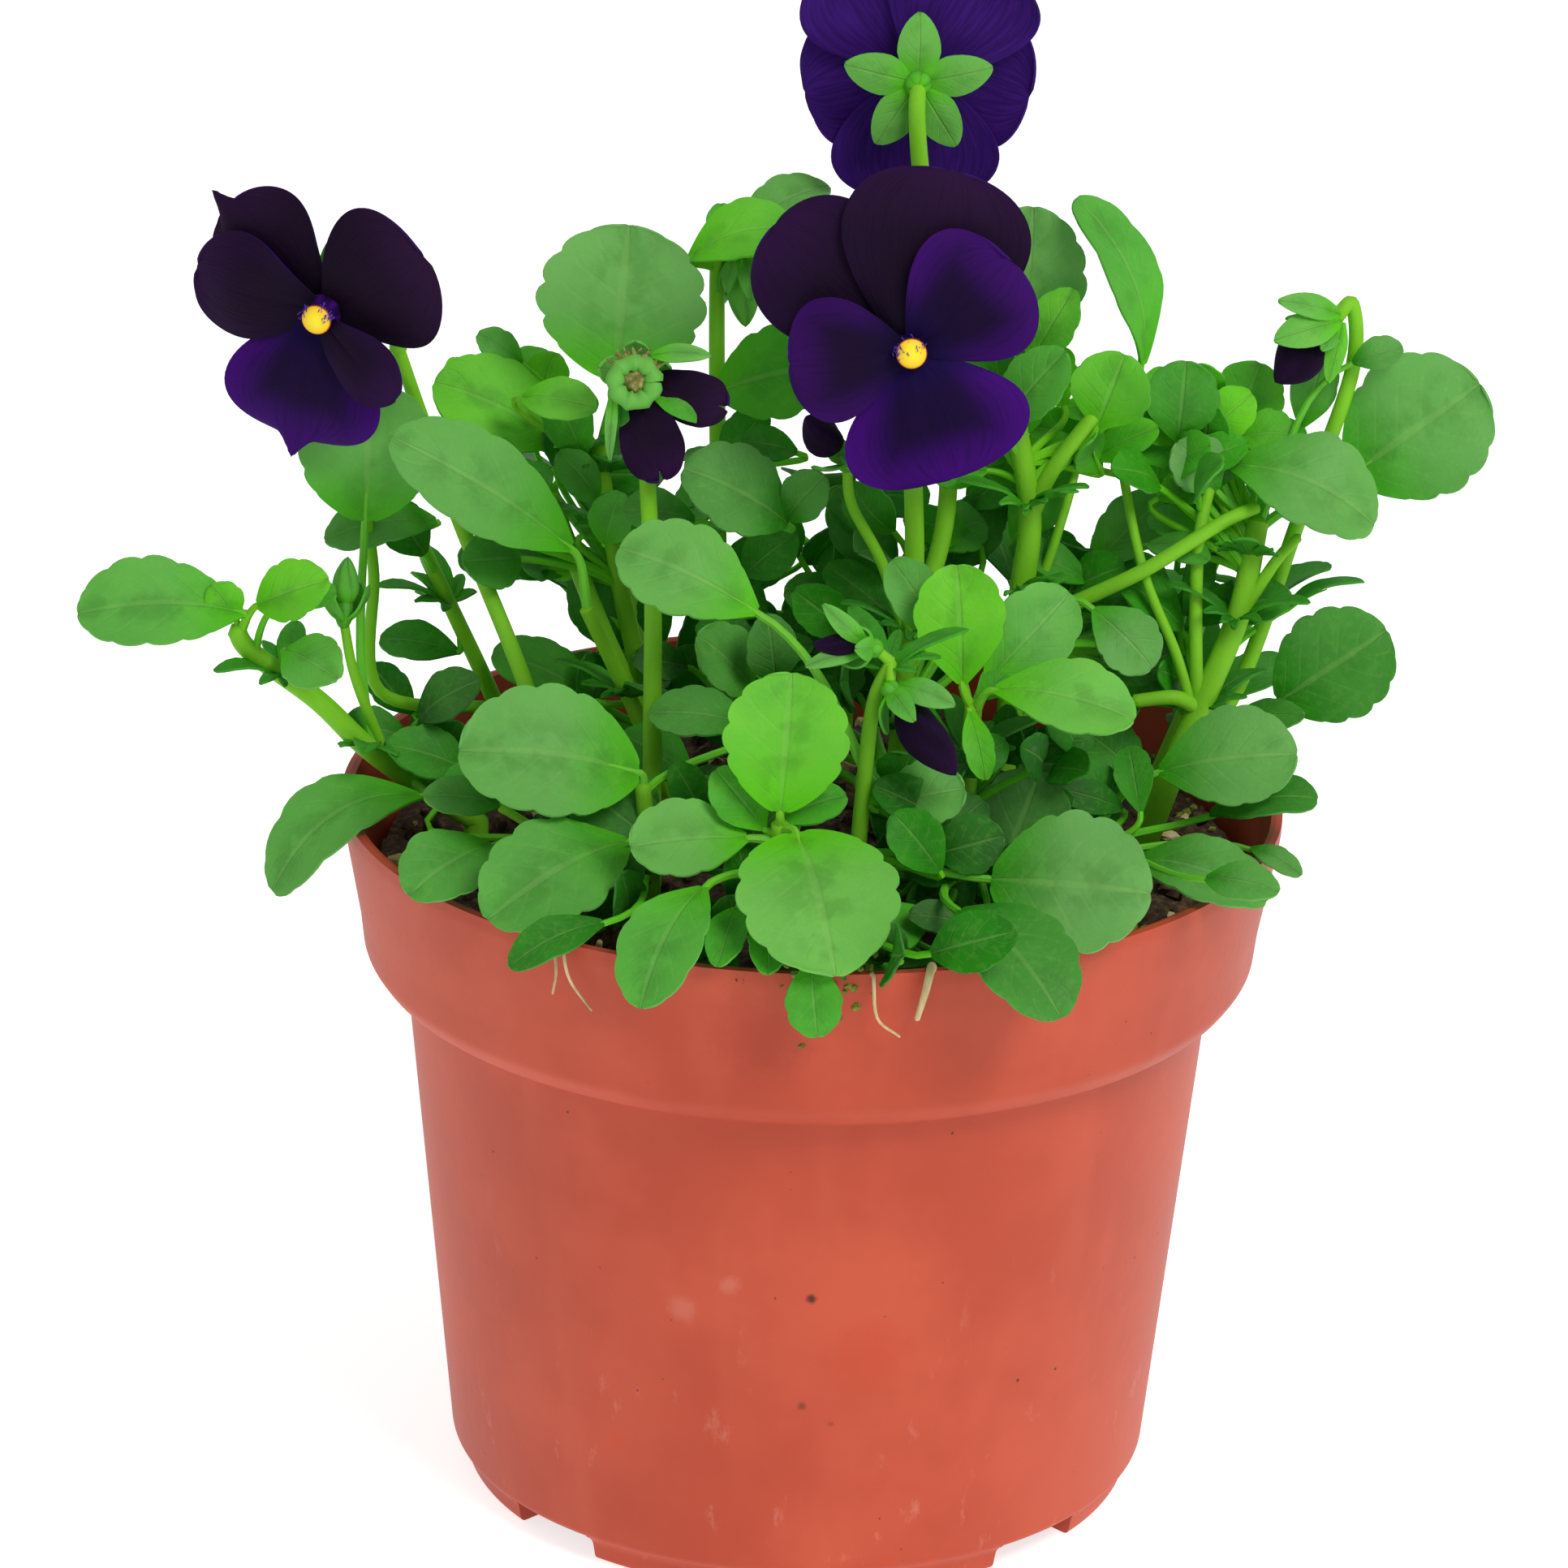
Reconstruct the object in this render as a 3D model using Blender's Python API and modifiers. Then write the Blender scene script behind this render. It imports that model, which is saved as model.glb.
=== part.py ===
"""A violet viola in a nursery pot: the pot, its potting mix, the leafy stems that grow from it, three open
blooms, a withered one, the buds and one dry stem. Lengths are in millimetres, and meshes in metres.

The origin is on the pot's axis at the plane it stands on. -Y is the front."""

import math
import random

import bmesh
import bpy
from mathutils import Matrix, Vector
from mathutils.bvhtree import BVHTree

MM = 0.001
UP = Vector((0, 0, 1))

# Pot
RIM_RADIUS = 60.0
POT_HEIGHT = 92.0
COLLAR_FOOT_RADIUS = 57.1
COLLAR_HEIGHT = 20.0
BODY_RADIUS = 51.8
BASE_RADIUS = 45.4
FOOT_HEIGHT = 4.0
WALL = 1.5
POT_STEPS = 36
DRAIN_ANGLES = (45, 135, 225, 315)
DRAIN_WIDTH = 14.0
DRAIN_INNER_RADIUS = 39.0

# Potting mix
SOIL_TOP = 84.0
SOIL_BUMP = 1.3
SOIL_STEPS = 20
STEM_FOOT = 86.0  # where a stem clears the mix; its straight root goes down from there
ROOT_DEPTH = 16.0
GAP = 0.35

# Foliage
BLADE = 0.7  # how thick a leaf or a petal is
PETIOLE = 1.7
PETIOLE_THICKNESS = 1.4
TOOTH = 0.17  # how deep a leaf's margin is notched, as a share of its half width
STIPULE_LENGTH = 11.0
STIPULE_WIDTH = 5.5
CLEARANCE = 0.3
BACK = Vector((0, 0.93, -0.36))  # the way that a crowded leaf swings, or against it
SWINGS = (0, 1, -1, 2, -2, 3, -3, 4, -4, 5, -5, 6.5, -6.5, 8, -8, 10, -10, 12, -12)

# name, colour, roughness
LEAF = ("leaf_green", (0.13, 0.30, 0.07), 0.5)
VIOLET = ("petal_violet", (0.035, 0.003, 0.09), 0.6)
YELLOW = ("eye_yellow", (0.85, 0.55, 0.01), 0.6)
TERRACOTTA = ("terracotta_plastic", (0.60, 0.13, 0.07), 0.45)
EARTH = ("potting_mix", (0.035, 0.022, 0.014), 0.95)
STRAW = ("dry_straw", (0.62, 0.52, 0.30), 0.8)

# Each shoot: its stem's points from the soil up, its thickness, and what grows on it.
# A leaf is (where on the stem, blade's root, blade's tip, width, the way its upper side faces, arch).
# A stipule is (where on the stem, heading in degrees).
SHOOTS = {
    "shoot_front_rosette": {
        "stem": [(-3, -40, 86), (-3, -42, 94), (-4, -44, 105)],
        "thick": 3.6,
        "leaves": [
            (0.95, (-4, -45, 107), (-3, -40, 123), 15.5, (0, -3, 1), 0.08),
            (0.95, (-2, -47, 105), (3, -65, 94), 20, (0, -1, 2), 0.12),
            (0.85, (-8, -44, 103), (-22, -48, 103), 11, (0, -1, 1.2), 0.08),
            (0.6, (-13, -53, 100), (-20, -67, 90), 11, (-0.5, -1, 1), 0.15),
            (0.9, (-6, -43, 104), (-12, -42, 111), 7, (-0.3, -1, 1), 0.1),
            (0.9, (-4, -43, 105), (4, -42, 108), 6, (0, -1, 1.3), 0.1),
            (0.4, (0, -62, 94.5), (1, -65, 86), 7, (0, -3, 1), 0.1),
        ],
    },
    "shoot_bud_pair": {
        "stem": [(5, -35, 86), (6, -36, 105), (7, -37, 118), (9, -38, 124)],
        "thick": 2.6,
        "leaves": [
            (0.6, (-7.5, -24, 125), (-24.5, -21, 131.8), 13, (0, -1, 1), 0.1),
            (0.5, (8, -36, 104), (18.5, -36, 107), 9, (0, -1, 1), 0.08),
            (0.25, (22, -43, 98), (41, -49, 99), 18, (0, -1.6, 1), 0.08),
        ],
        "stipules": [(0.96, 150), (0.96, 30)],
    },
    "shoot_mid_rosette": {
        "stem": [(18, -26, 86), (19, -26, 104), (19.5, -26, 114)],
        "thick": 3.4,
        "leaves": [
            (0.97, (18, -26, 117), (17, -22, 131), 11.5, (0, -3, 1), 0.08),
            (0.93, (16, -22, 121), (9, -18, 130), 7, (0, -1, 0.6), 0.08),
            (0.93, (21, -25, 117), (31, -20, 127), 10.5, (0.2, -1, 0.6), 0.08),
            (0.93, (22, -28, 117), (39, -32, 115), 10.5, (0, -1, 1.3), 0.12),
            (0.15, (18, -51, 97), (30, -67, 90), 13.5, (0.3, -1, 1.2), 0.15),
            (0.3, (21.9, -26, 88.2), (28.1, -24, 104.9), 13.5, (0.2, -1.4, 0.8), 0.08),
            (0.2, (15, -40, 92.1), (3.4, -47, 87.6), 8.5, (0, -1, 1.6), 0.12),
            (0.5, (19.1, -24, 101.7), (21, -19, 109.5), 7, (-0.2, -1, 0.8), 0.1),
        ],
    },
    "shoot_front_left": {
        "stem": [(-20, -29, 86), (-20, -30, 95), (-21, -30, 104)],
        "thick": 3.2,
        "leaves": [
            (0.95, (-21.5, -30, 105.8), (-43.4, -34, 109.7), 18, (0, -1, 1), 0.1),
            (0.7, (-22.5, -36, 99), (-39, -50, 94), 15, (-0.2, -1, 1), 0.12),
            (0.5, (-39.5, -32, 96.5), (-49, -42, 93.5), 11, (-0.3, -1, 1), 0.12),
            (0.3, (-25, -55, 96), (-36, -60, 92), 6, (-0.2, -1, 1.5), 0.12),
            (0.4, (-17, -32, 95), (-30, -27, 103), 9.5, (0, -1, 1), 0.08),
            (0.95, (-8, -20, 108.5), (-20.5, -18, 109), 8, (0, -1, 1.5), 0.1),
            (0.7, (-15.4, -14, 98.7), (-24.3, -11, 103.5), 7.5, (0, -1, 1.2), 0.1),
        ],
    },
    "shoot_creeping": {
        "stem": [
            (-43, 3, 86), (-49.8, 0, 91.5), (-56.9, -4, 98.6), (-62.9, -5, 105), (-71, -6, 111.5), (-73, -6, 114.5),
        ],
        "thick": 3.8,
        "leaves": [
            (0.97, (-72, -7, 117.2), (-92.3, -11, 118), 13, (0, -1, 1.1), 0.12),
            (0.97, (-70, -8, 118.6), (-60.8, -13, 124), 8, (0.1, -1, 0.6), 0.1),
            (0.75, (-66.5, -8, 112.6), (-59.5, -15, 111.5), 8, (0, -1, 0.8), 0.1),
            (0.25, (-49.5, -7, 93), (-67.5, -17, 83.5), 12.5, (-0.4, -0.6, 1), 0.26),
            (0.42, (-57, 2, 126.5), (-56.5, 4, 144), 17.5, (0.1, -1, 0.3), 0.06),
        ],
        "stipules": [(0.45, 200)],
    },
    "shoot_back_left": {
        "stem": [(-38, 17, 86), (-41, 13, 98), (-47, 10, 113), (-51.5, 8, 124)],
        "thick": 2.8,
        "leaves": [
            (0.97, (-48.5, 6, 125.3), (-62.4, 3, 123.5), 7.5, (0, -1, 1.2), 0.16),
            (0.6, (-46, 11, 106), (-56, 12, 107), 6, (0, -1, 1.2), 0.1),
        ],
        "stipules": [(0.7, 200)],
    },
    "stalk_left_bloom": {
        "stem": [(-29, -8, 86), (-32, -7, 94), (-37, -5, 109), (-45, 0, 127), (-50, 2, 140), (-53, 0, 150)],
        "thick": 2.8,
    },
    "shoot_long_leaf": {
        "stem": [(-16, 2, 86), (-23, -2, 104), (-29, -5, 118)],
        "thick": 2.8,
        "leaves": [
            (0.97, (-31, -6, 126.5), (-53, -12, 142.5), 13, (-0.3, -1, 1), 0.08),
            (0.15, (-42.7, 2, 92.2), (-54.2, 0, 97.1), 8, (0, -1, 1.4), 0.1),
        ],
    },
    "stalk_withered_bloom": {
        "stem": [(-20, -16, 86), (-20.3, -14, 110), (-20.5, -12, 122), (-21.5, -9, 137), (-22.5, -5.5, 147.5)],
        "thick": 3.0,
    },
    "shoot_tall_left": {
        "stem": [(-18, 14, 86), (-24, 11, 110), (-27, 8, 128), (-28, 7, 136)],
        "thick": 3.2,
        "leaves": [
            (0.97, (-26, 4, 145.5), (-24.6, 6, 165), 21.5, (0, -1, 0.35), 0.06),
            (0.95, (-33, 8, 135.6), (-48.8, 6, 143.8), 13, (0, -1, 1), 0.1),
            (0.9, (-30, 4, 135), (-34, 2, 146), 6.5, (0, -1, 0.5), 0.1),
            (0.8, (-27, 3, 124), (-25, 0, 132), 6, (0, -1, 0.7), 0.1),
            (0.45, (-34.5, 10, 118.4), (-45.8, 8, 119.6), 7.5, (0, -1, 1.2), 0.12),
            (0.25, (-28, 10, 100.2), (-41.3, 8, 107), 8.5, (0, -1, 1.2), 0.1),
            (0.4, (-25, 13, 106.1), (-30.3, 11, 117.8), 7.5, (-0.3, -1, 0.6), 0.1),
        ],
    },
    "shoot_tall_mid": {
        "stem": [(-8, 12, 86), (-12, 9, 110), (-13, 8, 135), (-13.5, 8, 158), (-13, 8, 161)],
        "thick": 2.9,
        "leaves": [
            (0.97, (-11, 10, 162.2), (0.3, 14, 168.2), 8, (0, -1, 2.5), 0.15),
            (0.97, (-17, 6.5, 160.6), (-3.4, 7, 164.4), 9, (0, -0.8, 1), 0.22),
            (0.75, (-13.5, 4, 144), (1, 2, 148.6), 12.5, (0, -1, 0.7), 0.12),
            (0.65, (-12, 6, 134), (-7, 4, 142), 6, (0, -1, 0.6), 0.1),
            (0.55, (-4, -6, 130.3), (-17, -10, 138.6), 12, (0, -1, 0.9), 0.12),
            (0.3, (-8, -6, 108), (-15, -11, 117), 9, (0, -1, 1), 0.1),
        ],
        "stipules": [(0.42, 220)],
    },
    "shoot_middle": {
        "stem": [(10, -4, 86), (11, -5, 105), (12, -5, 119)],
        "thick": 3.4,
        "leaves": [
            (0.9, (10, -1, 116), (1, 2, 122), 6, (0, -1, 0.8), 0.1),
            (0.7, (14, 0, 112), (20, 4, 120), 6, (0, -1, 0.8), 0.1),
            (0.8, (9.6, 8, 118.5), (2.1, 8, 130.3), 8, (-0.3, -1, 0.6), 0.1),
            (0.85, (15.8, 10, 118.7), (22.6, 12, 128.4), 8, (0.2, -1, 0.7), 0.1),
            (0.25, (0.8, 12, 97.7), (3.9, 17, 105.4), 8.5, (-0.2, -1, 0.6), 0.1),
        ],
    },
    "shoot_forked": {
        "stem": [(24, 1, 86), (25.6, 0, 117), (26.5, 0, 130), (24.4, 1, 142)],
        "thick": 4.2,
        "leaves": [
            (0.97, (24.8, 6, 149), (25.8, 8, 168), 15, (0, -1, 0.3), 0.06),
            (0.97, (26, 4, 149), (31, 3, 159), 6.5, (0, -1, 0.6), 0.1),
            (0.9, (23, -2, 143), (30, -4, 153), 8, (0, -1, 0.8), 0.1),
            (0.85, (34.5, 0, 142), (37.5, -1.5, 152), 10.5, (0, -1, 0.6), 0.1),
            (0.8, (40.1, 4, 149), (31, 5, 170.2), 9.5, (1, -0.8, 0.2), 0.16),
            (0.5, (34.6, -9, 121), (42, -12, 114.4), 8.5, (0, -1, 0.8), 0.1),
            (0.6, (35.1, 14, 118.3), (44.5, 16, 127.6), 8, (0, -1, 1), 0.1),
            (0.75, (24.9, 8, 123.7), (31, 10, 134.1), 7.5, (0, -1, 0.7), 0.1),
            (0.25, (31.1, 14, 101.6), (36, 18, 111.9), 9, (0, -1, 0.7), 0.1),
            (0.15, (33.7, 10, 97), (41.3, 15, 103.5), 8.5, (0, -1, 0.8), 0.1),
        ],
    },
    "shoot_right": {
        "stem": [(42, -3, 86), (45.5, -3, 97), (49.5, -2, 107.5), (53.4, 0, 118), (55.4, 3, 129)],
        "thick": 4.4,
        "leaves": [
            (0.85, (45, 6, 138.5), (45.6, 6, 149), 9.5, (0, -1, 0.8), 0.1),
            (0.97, (52.5, 9, 138), (55.5, 10, 148), 9.5, (0, -1, 0.8), 0.1),
            (0.9, (51.5, -2, 138.5), (69.8, -8, 133), 14, (0.2, -1, 1.1), 0.2),
            (0.97, (67.4, 10, 133), (83.2, 12, 145), 19, (0.1, -1, 0.5), 0.06),
            (0.6, (60, 10, 115), (70, 12, 118), 6, (0, 0.2, 1), 0.1),
            (0.4, (59.6, 8, 103), (72.8, 8, 113), 15, (0.2, -1, 0.5), 0.08),
            (0.9, (46, 14, 119.5), (48.8, 15, 132.6), 7.5, (0, -1, 0.5), 0.08),
            (0.8, (51.1, 12, 120.3), (55.5, 14, 129.8), 7.5, (0.3, -1, 0.7), 0.1),
            (0.2, (41.8, 0, 94.7), (34.8, 3, 100), 8, (0, -1, 1), 0.1),
        ],
        "stipules": [(0.72, 190)],
    },
    "shoot_front_right": {
        "stem": [(33, -17, 86), (34, -17, 93)],
        "thick": 3.0,
        "leaves": [
            (0.9, (43.5, -13, 101), (60.4, -15, 104.5), 13.5, (0, -1, 0.9), 0.1),
            (0.7, (50, -14, 95.8), (63.2, -16, 98.8), 9, (0, -0.3, 1), 0.1),
            (0.7, (40, -26, 94), (56, -36, 93), 10, (0, -1, 1.6), 0.14),
        ],
    },
}

DRY_STEM_WIDTH = 2.6
DRY_STEM = [(-28, -16, 86), (-31, -16, 90), (-37, -15, 99)]

# Shoots round the back: where each enters the soil, its height, and its leaves' headings in degrees.
BACK_SHOOTS = {
    "shoot_rear_left": ((-22, 34), 22, (100, 165, 45, 215)),
    "shoot_rear": ((4, 38), 30, (90, 20, 160, 250, 60)),
    "shoot_rear_right": ((27, 29), 26, (60, 110, 10, 240)),
    "shoot_rear_far_right": ((44, 17), 14, (40, 100, 350)),
}

# An open viola's petals, seen from its front: heading from its right, length, width, how far its root stands
# forward, how far it leans forward in degrees, and its arch.
OPEN_PETALS = (
    (118, 22.5, 18.5, -1.6, -4, 0.06),
    (58, 22.5, 23.5, -0.6, -2, 0.05),
    (166, 15, 15.5, 0.4, 4, 0.06),
    (23, 16.6, 18, 0.5, 5, 0.06),
    (-91, 17, 23.5, 0.2, -4, 0.08),
)
SHIELD_PETALS = (
    (118, 18, 20, -1.4, -4, 0.06),
    (62, 18, 20, -0.6, -4, 0.06),
    (194, 14.4, 17.5, 0.4, 2, 0.06),
    (-14, 14.4, 17.5, 0.5, 2, 0.06),
    (-90, 17.5, 21, 0.2, -2, 0.06),
)
# The left bloom's upper petals fold back and one side petal hangs.
FOLDED_PETALS = (
    (140, 17.6, 15.5, -1.8, -8, 0.1),
    (32, 14.8, 19, -0.8, -6, 0.14),
    (167, 17.3, 13.5, -0.2, -6, 0.12),
    (-40, 14, 8, 0.9, 10, 0.12),
    (-103, 17.2, 20.5, 0.2, 0, 0.08),
)
# A withered bloom keeps two petals.
LAST_PETALS = (
    (-74, 13, 7.8, 0, 4, 0.1),
    (-16, 12, 6.8, 0, 4, 0.1),
)
# Each bloom: where its petals meet, the way it faces, its roll in degrees, its petals, its sepals' length, width
# and lean in degrees, and its stalk: the shoot that bears it, where on that, the points between, and thickness.
BLOOMS = {
    "bloom_front": {
        "centre": (10.6, -15, 156.2),
        "facing": (0.05, -1, 0.15),
        "roll": 20,
        "petals": OPEN_PETALS,
        "sepals": (9, 4.6, 8),
        "stalk": ("shoot_middle", 0.85, [(12, -8, 126), (11.5, -9.5, 138), (11, -7.5, 148)], 2.8),
    },
    "bloom_top": {
        "centre": (10.9, 9, 185),
        "facing": (0, 1, 0.1),
        "roll": 0,
        "petals": SHIELD_PETALS,
        "sepals": (9.5, 5.4, 3),
        "stalk": ("shoot_middle", 0.85, [(16, 1, 130), (15, 4.5, 150), (12, 3.5, 170), (10.9, 3, 180)], 2.6),
    },
    "bloom_left": {
        "centre": (-61.8, -9, 157.3),
        "facing": (-0.25, -0.95, -0.05),
        "roll": 0,
        "petals": FOLDED_PETALS,
        "sepals": (8.5, 4.4, 12),
        "stalk": ("stalk_left_bloom", 1, [(-53.5, -1, 154)], 2.4),
    },
    "bloom_withered": {
        "centre": (-23.2, -11, 150.4),
        "facing": (0.02, -1, 0.2),
        "roll": 0,
        "petals": LAST_PETALS,
        "sepals": (5.5, 4, -35),
        "stalk": ("stalk_withered_bloom", 1, [], 2.4),
    },
}
SEPAL_ANGLES = (90, 15, 165, 238, 302)
# Each bud: its root and tip, its width, whether it shows violet, and its stalk, as above.
BUDS = {
    "bud_hanging": ((10.2, -40, 119.6), (17.2, -42, 111), 6, True, ("shoot_bud_pair", 1, [], 1.5)),
    "bud_pointing": ((5, -38.5, 126), (-0.6, -40, 126.8), 3, True, ("shoot_bud_pair", 1, [], 1.5)),
    "bud_middle": (
        (2, -9.5, 141), (-2, -10.5, 146), 5.2, True,
        ("shoot_middle", 0.85, [(8, -8, 126), (4, -9, 134)], 1.6),
    ),
    "bud_nodding": (
        (62.8, 10, 151.8), (57, 8, 145.8), 7, True,
        ("shoot_right", 0.25, [(54, 5, 106), (61, 8, 128), (66.8, 11, 146), (66.6, 12, 155)], 2.3),
    ),
    "bud_left": (
        (-59.3, -6, 118), (-58.9, -6, 124.6), 3.6, False,
        ("shoot_creeping", 0.36, [(-58, -5, 108)], 1.5),
    ),
    "bud_tall": ((-10.2, 7.2, 159.8), (-9.8, 6.2, 152), 4.4, False, ("shoot_tall_mid", 1, [], 1.8)),
}


def new_collection(name):
    made = bpy.data.collections.new(name)
    bpy.context.scene.collection.children.link(made)
    return made


def material(finish):
    name, colour, roughness = finish
    made = bpy.data.materials.get(name)
    if made is None:
        made = bpy.data.materials.new(name)
        made.use_nodes = True
        shader = made.node_tree.nodes["Principled BSDF"]
        shader.inputs["Base Color"].default_value = (*colour, 1)
        shader.inputs["Roughness"].default_value = roughness
        shader.inputs["Metallic"].default_value = 0
    return made


def move_to(obj, group):
    for held in list(obj.users_collection):
        held.objects.unlink(obj)
    group.objects.link(obj)


def mesh_object(name, points, faces, group):
    mesh = bpy.data.meshes.new(name)
    mesh.from_pydata([p * MM for p in points], [], faces)
    made = bpy.data.objects.new(name, mesh)
    group.objects.link(made)
    return made


def applied(obj, name=None):
    """The object's evaluated mesh as a plain object in its place."""
    bpy.context.view_layer.update()
    evaluated = obj.evaluated_get(bpy.context.evaluated_depsgraph_get())
    mesh = bpy.data.meshes.new_from_object(evaluated)
    mesh.transform(obj.matrix_world)
    group = obj.users_collection[0]
    name = name or obj.name
    bpy.data.objects.remove(obj, do_unlink=True)
    made = bpy.data.objects.new(name, mesh)
    group.objects.link(made)
    return made


def smooth_path(points, steps):
    """A Catmull-Rom curve through the points, with this many steps between two of them."""
    points = [Vector(p) for p in points]
    padded = [2 * points[0] - points[1], *points, 2 * points[-1] - points[-2]]
    path = []
    for a, b, c, d in zip(padded, padded[1:], padded[2:], padded[3:]):
        for i in range(steps):
            t = i / steps
            bend = (2 * a - 5 * b + 4 * c - d) * t * t + (3 * b - a - 3 * c + d) * t**3
            path.append(0.5 * (2 * b + (c - a) * t + bend))
    return path + [points[-1]]


def point_on(path, share):
    """The point this share of the way along the path, and the path's direction there."""
    lengths = [(b - a).length for a, b in zip(path, path[1:])]
    left = share * sum(lengths)
    for (a, b), length in zip(zip(path, path[1:]), lengths):
        if left <= length:
            break
        left -= length
    return a.lerp(b, min(1, left / length)), (b - a).normalized()


def tube(path, radii, group, sides=6):
    """A round stem along the path, its ends capped, as a closed mesh."""
    curve = bpy.data.curves.new("stem", "CURVE")
    curve.dimensions = "3D"
    curve.bevel_depth = MM
    curve.bevel_resolution = (sides - 4) // 2
    curve.use_fill_caps = True
    spline = curve.splines.new("POLY")
    spline.points.add(len(path) - 1)
    for point, at, radius in zip(spline.points, path, radii):
        point.co = (*(at * MM), 1)
        point.radius = radius
    made = bpy.data.objects.new("stem", curve)
    group.objects.link(made)
    made = applied(made)
    weld(made)
    return made


def weld(obj):
    work = bmesh.new()
    work.from_mesh(obj.data)
    bmesh.ops.remove_doubles(work, verts=work.verts, dist=1e-3 * MM)
    bmesh.ops.recalc_face_normals(work, faces=work.faces)
    work.to_mesh(obj.data)
    work.free()


# Outlines: where along the blade it is widest, its width at the root as a share of that, how soon it widens and
# how blunt the tip is (powers), and the shares of the length at which it has points, each with how deep it is
# notched there.
ROUND = (0.53, 0.14, 0.74, 0.45, ((0, 0), (0.14, 0), (0.34, 0), (0.47, 1), (0.63, 0), (0.76, 1), (0.91, 0)))
ROUND = (0.53, 0.14, 0.74, 0.45, ((0, 0), (0.14, 0), (0.34, 0), (0.47, 1), (0.63, 0), (0.76, 1), (0.91, 0)))
ROUND = (0.53, 0.14, 0.74, 0.45, ((0, 0), (0.14, 0), (0.34, 0), (0.47, 1), (0.63, 0), (0.76, 1), (0.91, 0)))
TOOTHED_WIDE = (0.57, 0.1, 1.05, 0.44, ((0, 0), (0.23, 0), (0.42, 0), (0.5, 1), (0.66, 0), (0.75, 1), (0.91, 0)))
TOOTHED = (0.56, 0.12, 1.0, 0.45, ((0, 0), (0.32, 0), (0.52, 0), (0.62, 1), (0.86, 0)))
PLAIN = (0.55, 0.16, 1.0, 0.5, ((0, 0), (0.45, 0), (0.86, 0)))
PETAL = (0.63, 0.2, 1.0, 0.42, ((0, 0), (0.25, 0), (0.55, 0), (0.8, 0), (0.95, 0)))
SEPAL = (0.42, 0.34, 1.2, 0.7, ((0, 0), (0.4, 0), (0.78, 0)))
LOBED = (0.5, 0.25, 1.2, 0.9, ((0, 0), (0.34, 0), (0.48, 4.2), (0.72, 0)))
SLIM = (0.4, 0.5, 1.2, 0.7, ((0, 0), (0.45, 0)))


def half_width(outline, share, notch):
    widest, root, swell, blunt, _ = outline
    if share < widest:
        full = root + (1 - root) * math.sin(math.pi / 2 * share / widest) ** swell
    else:
        full = (1 - ((share - widest) / (1 - widest)) ** 2) ** blunt
    return full * (1 - TOOTH * notch)


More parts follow.
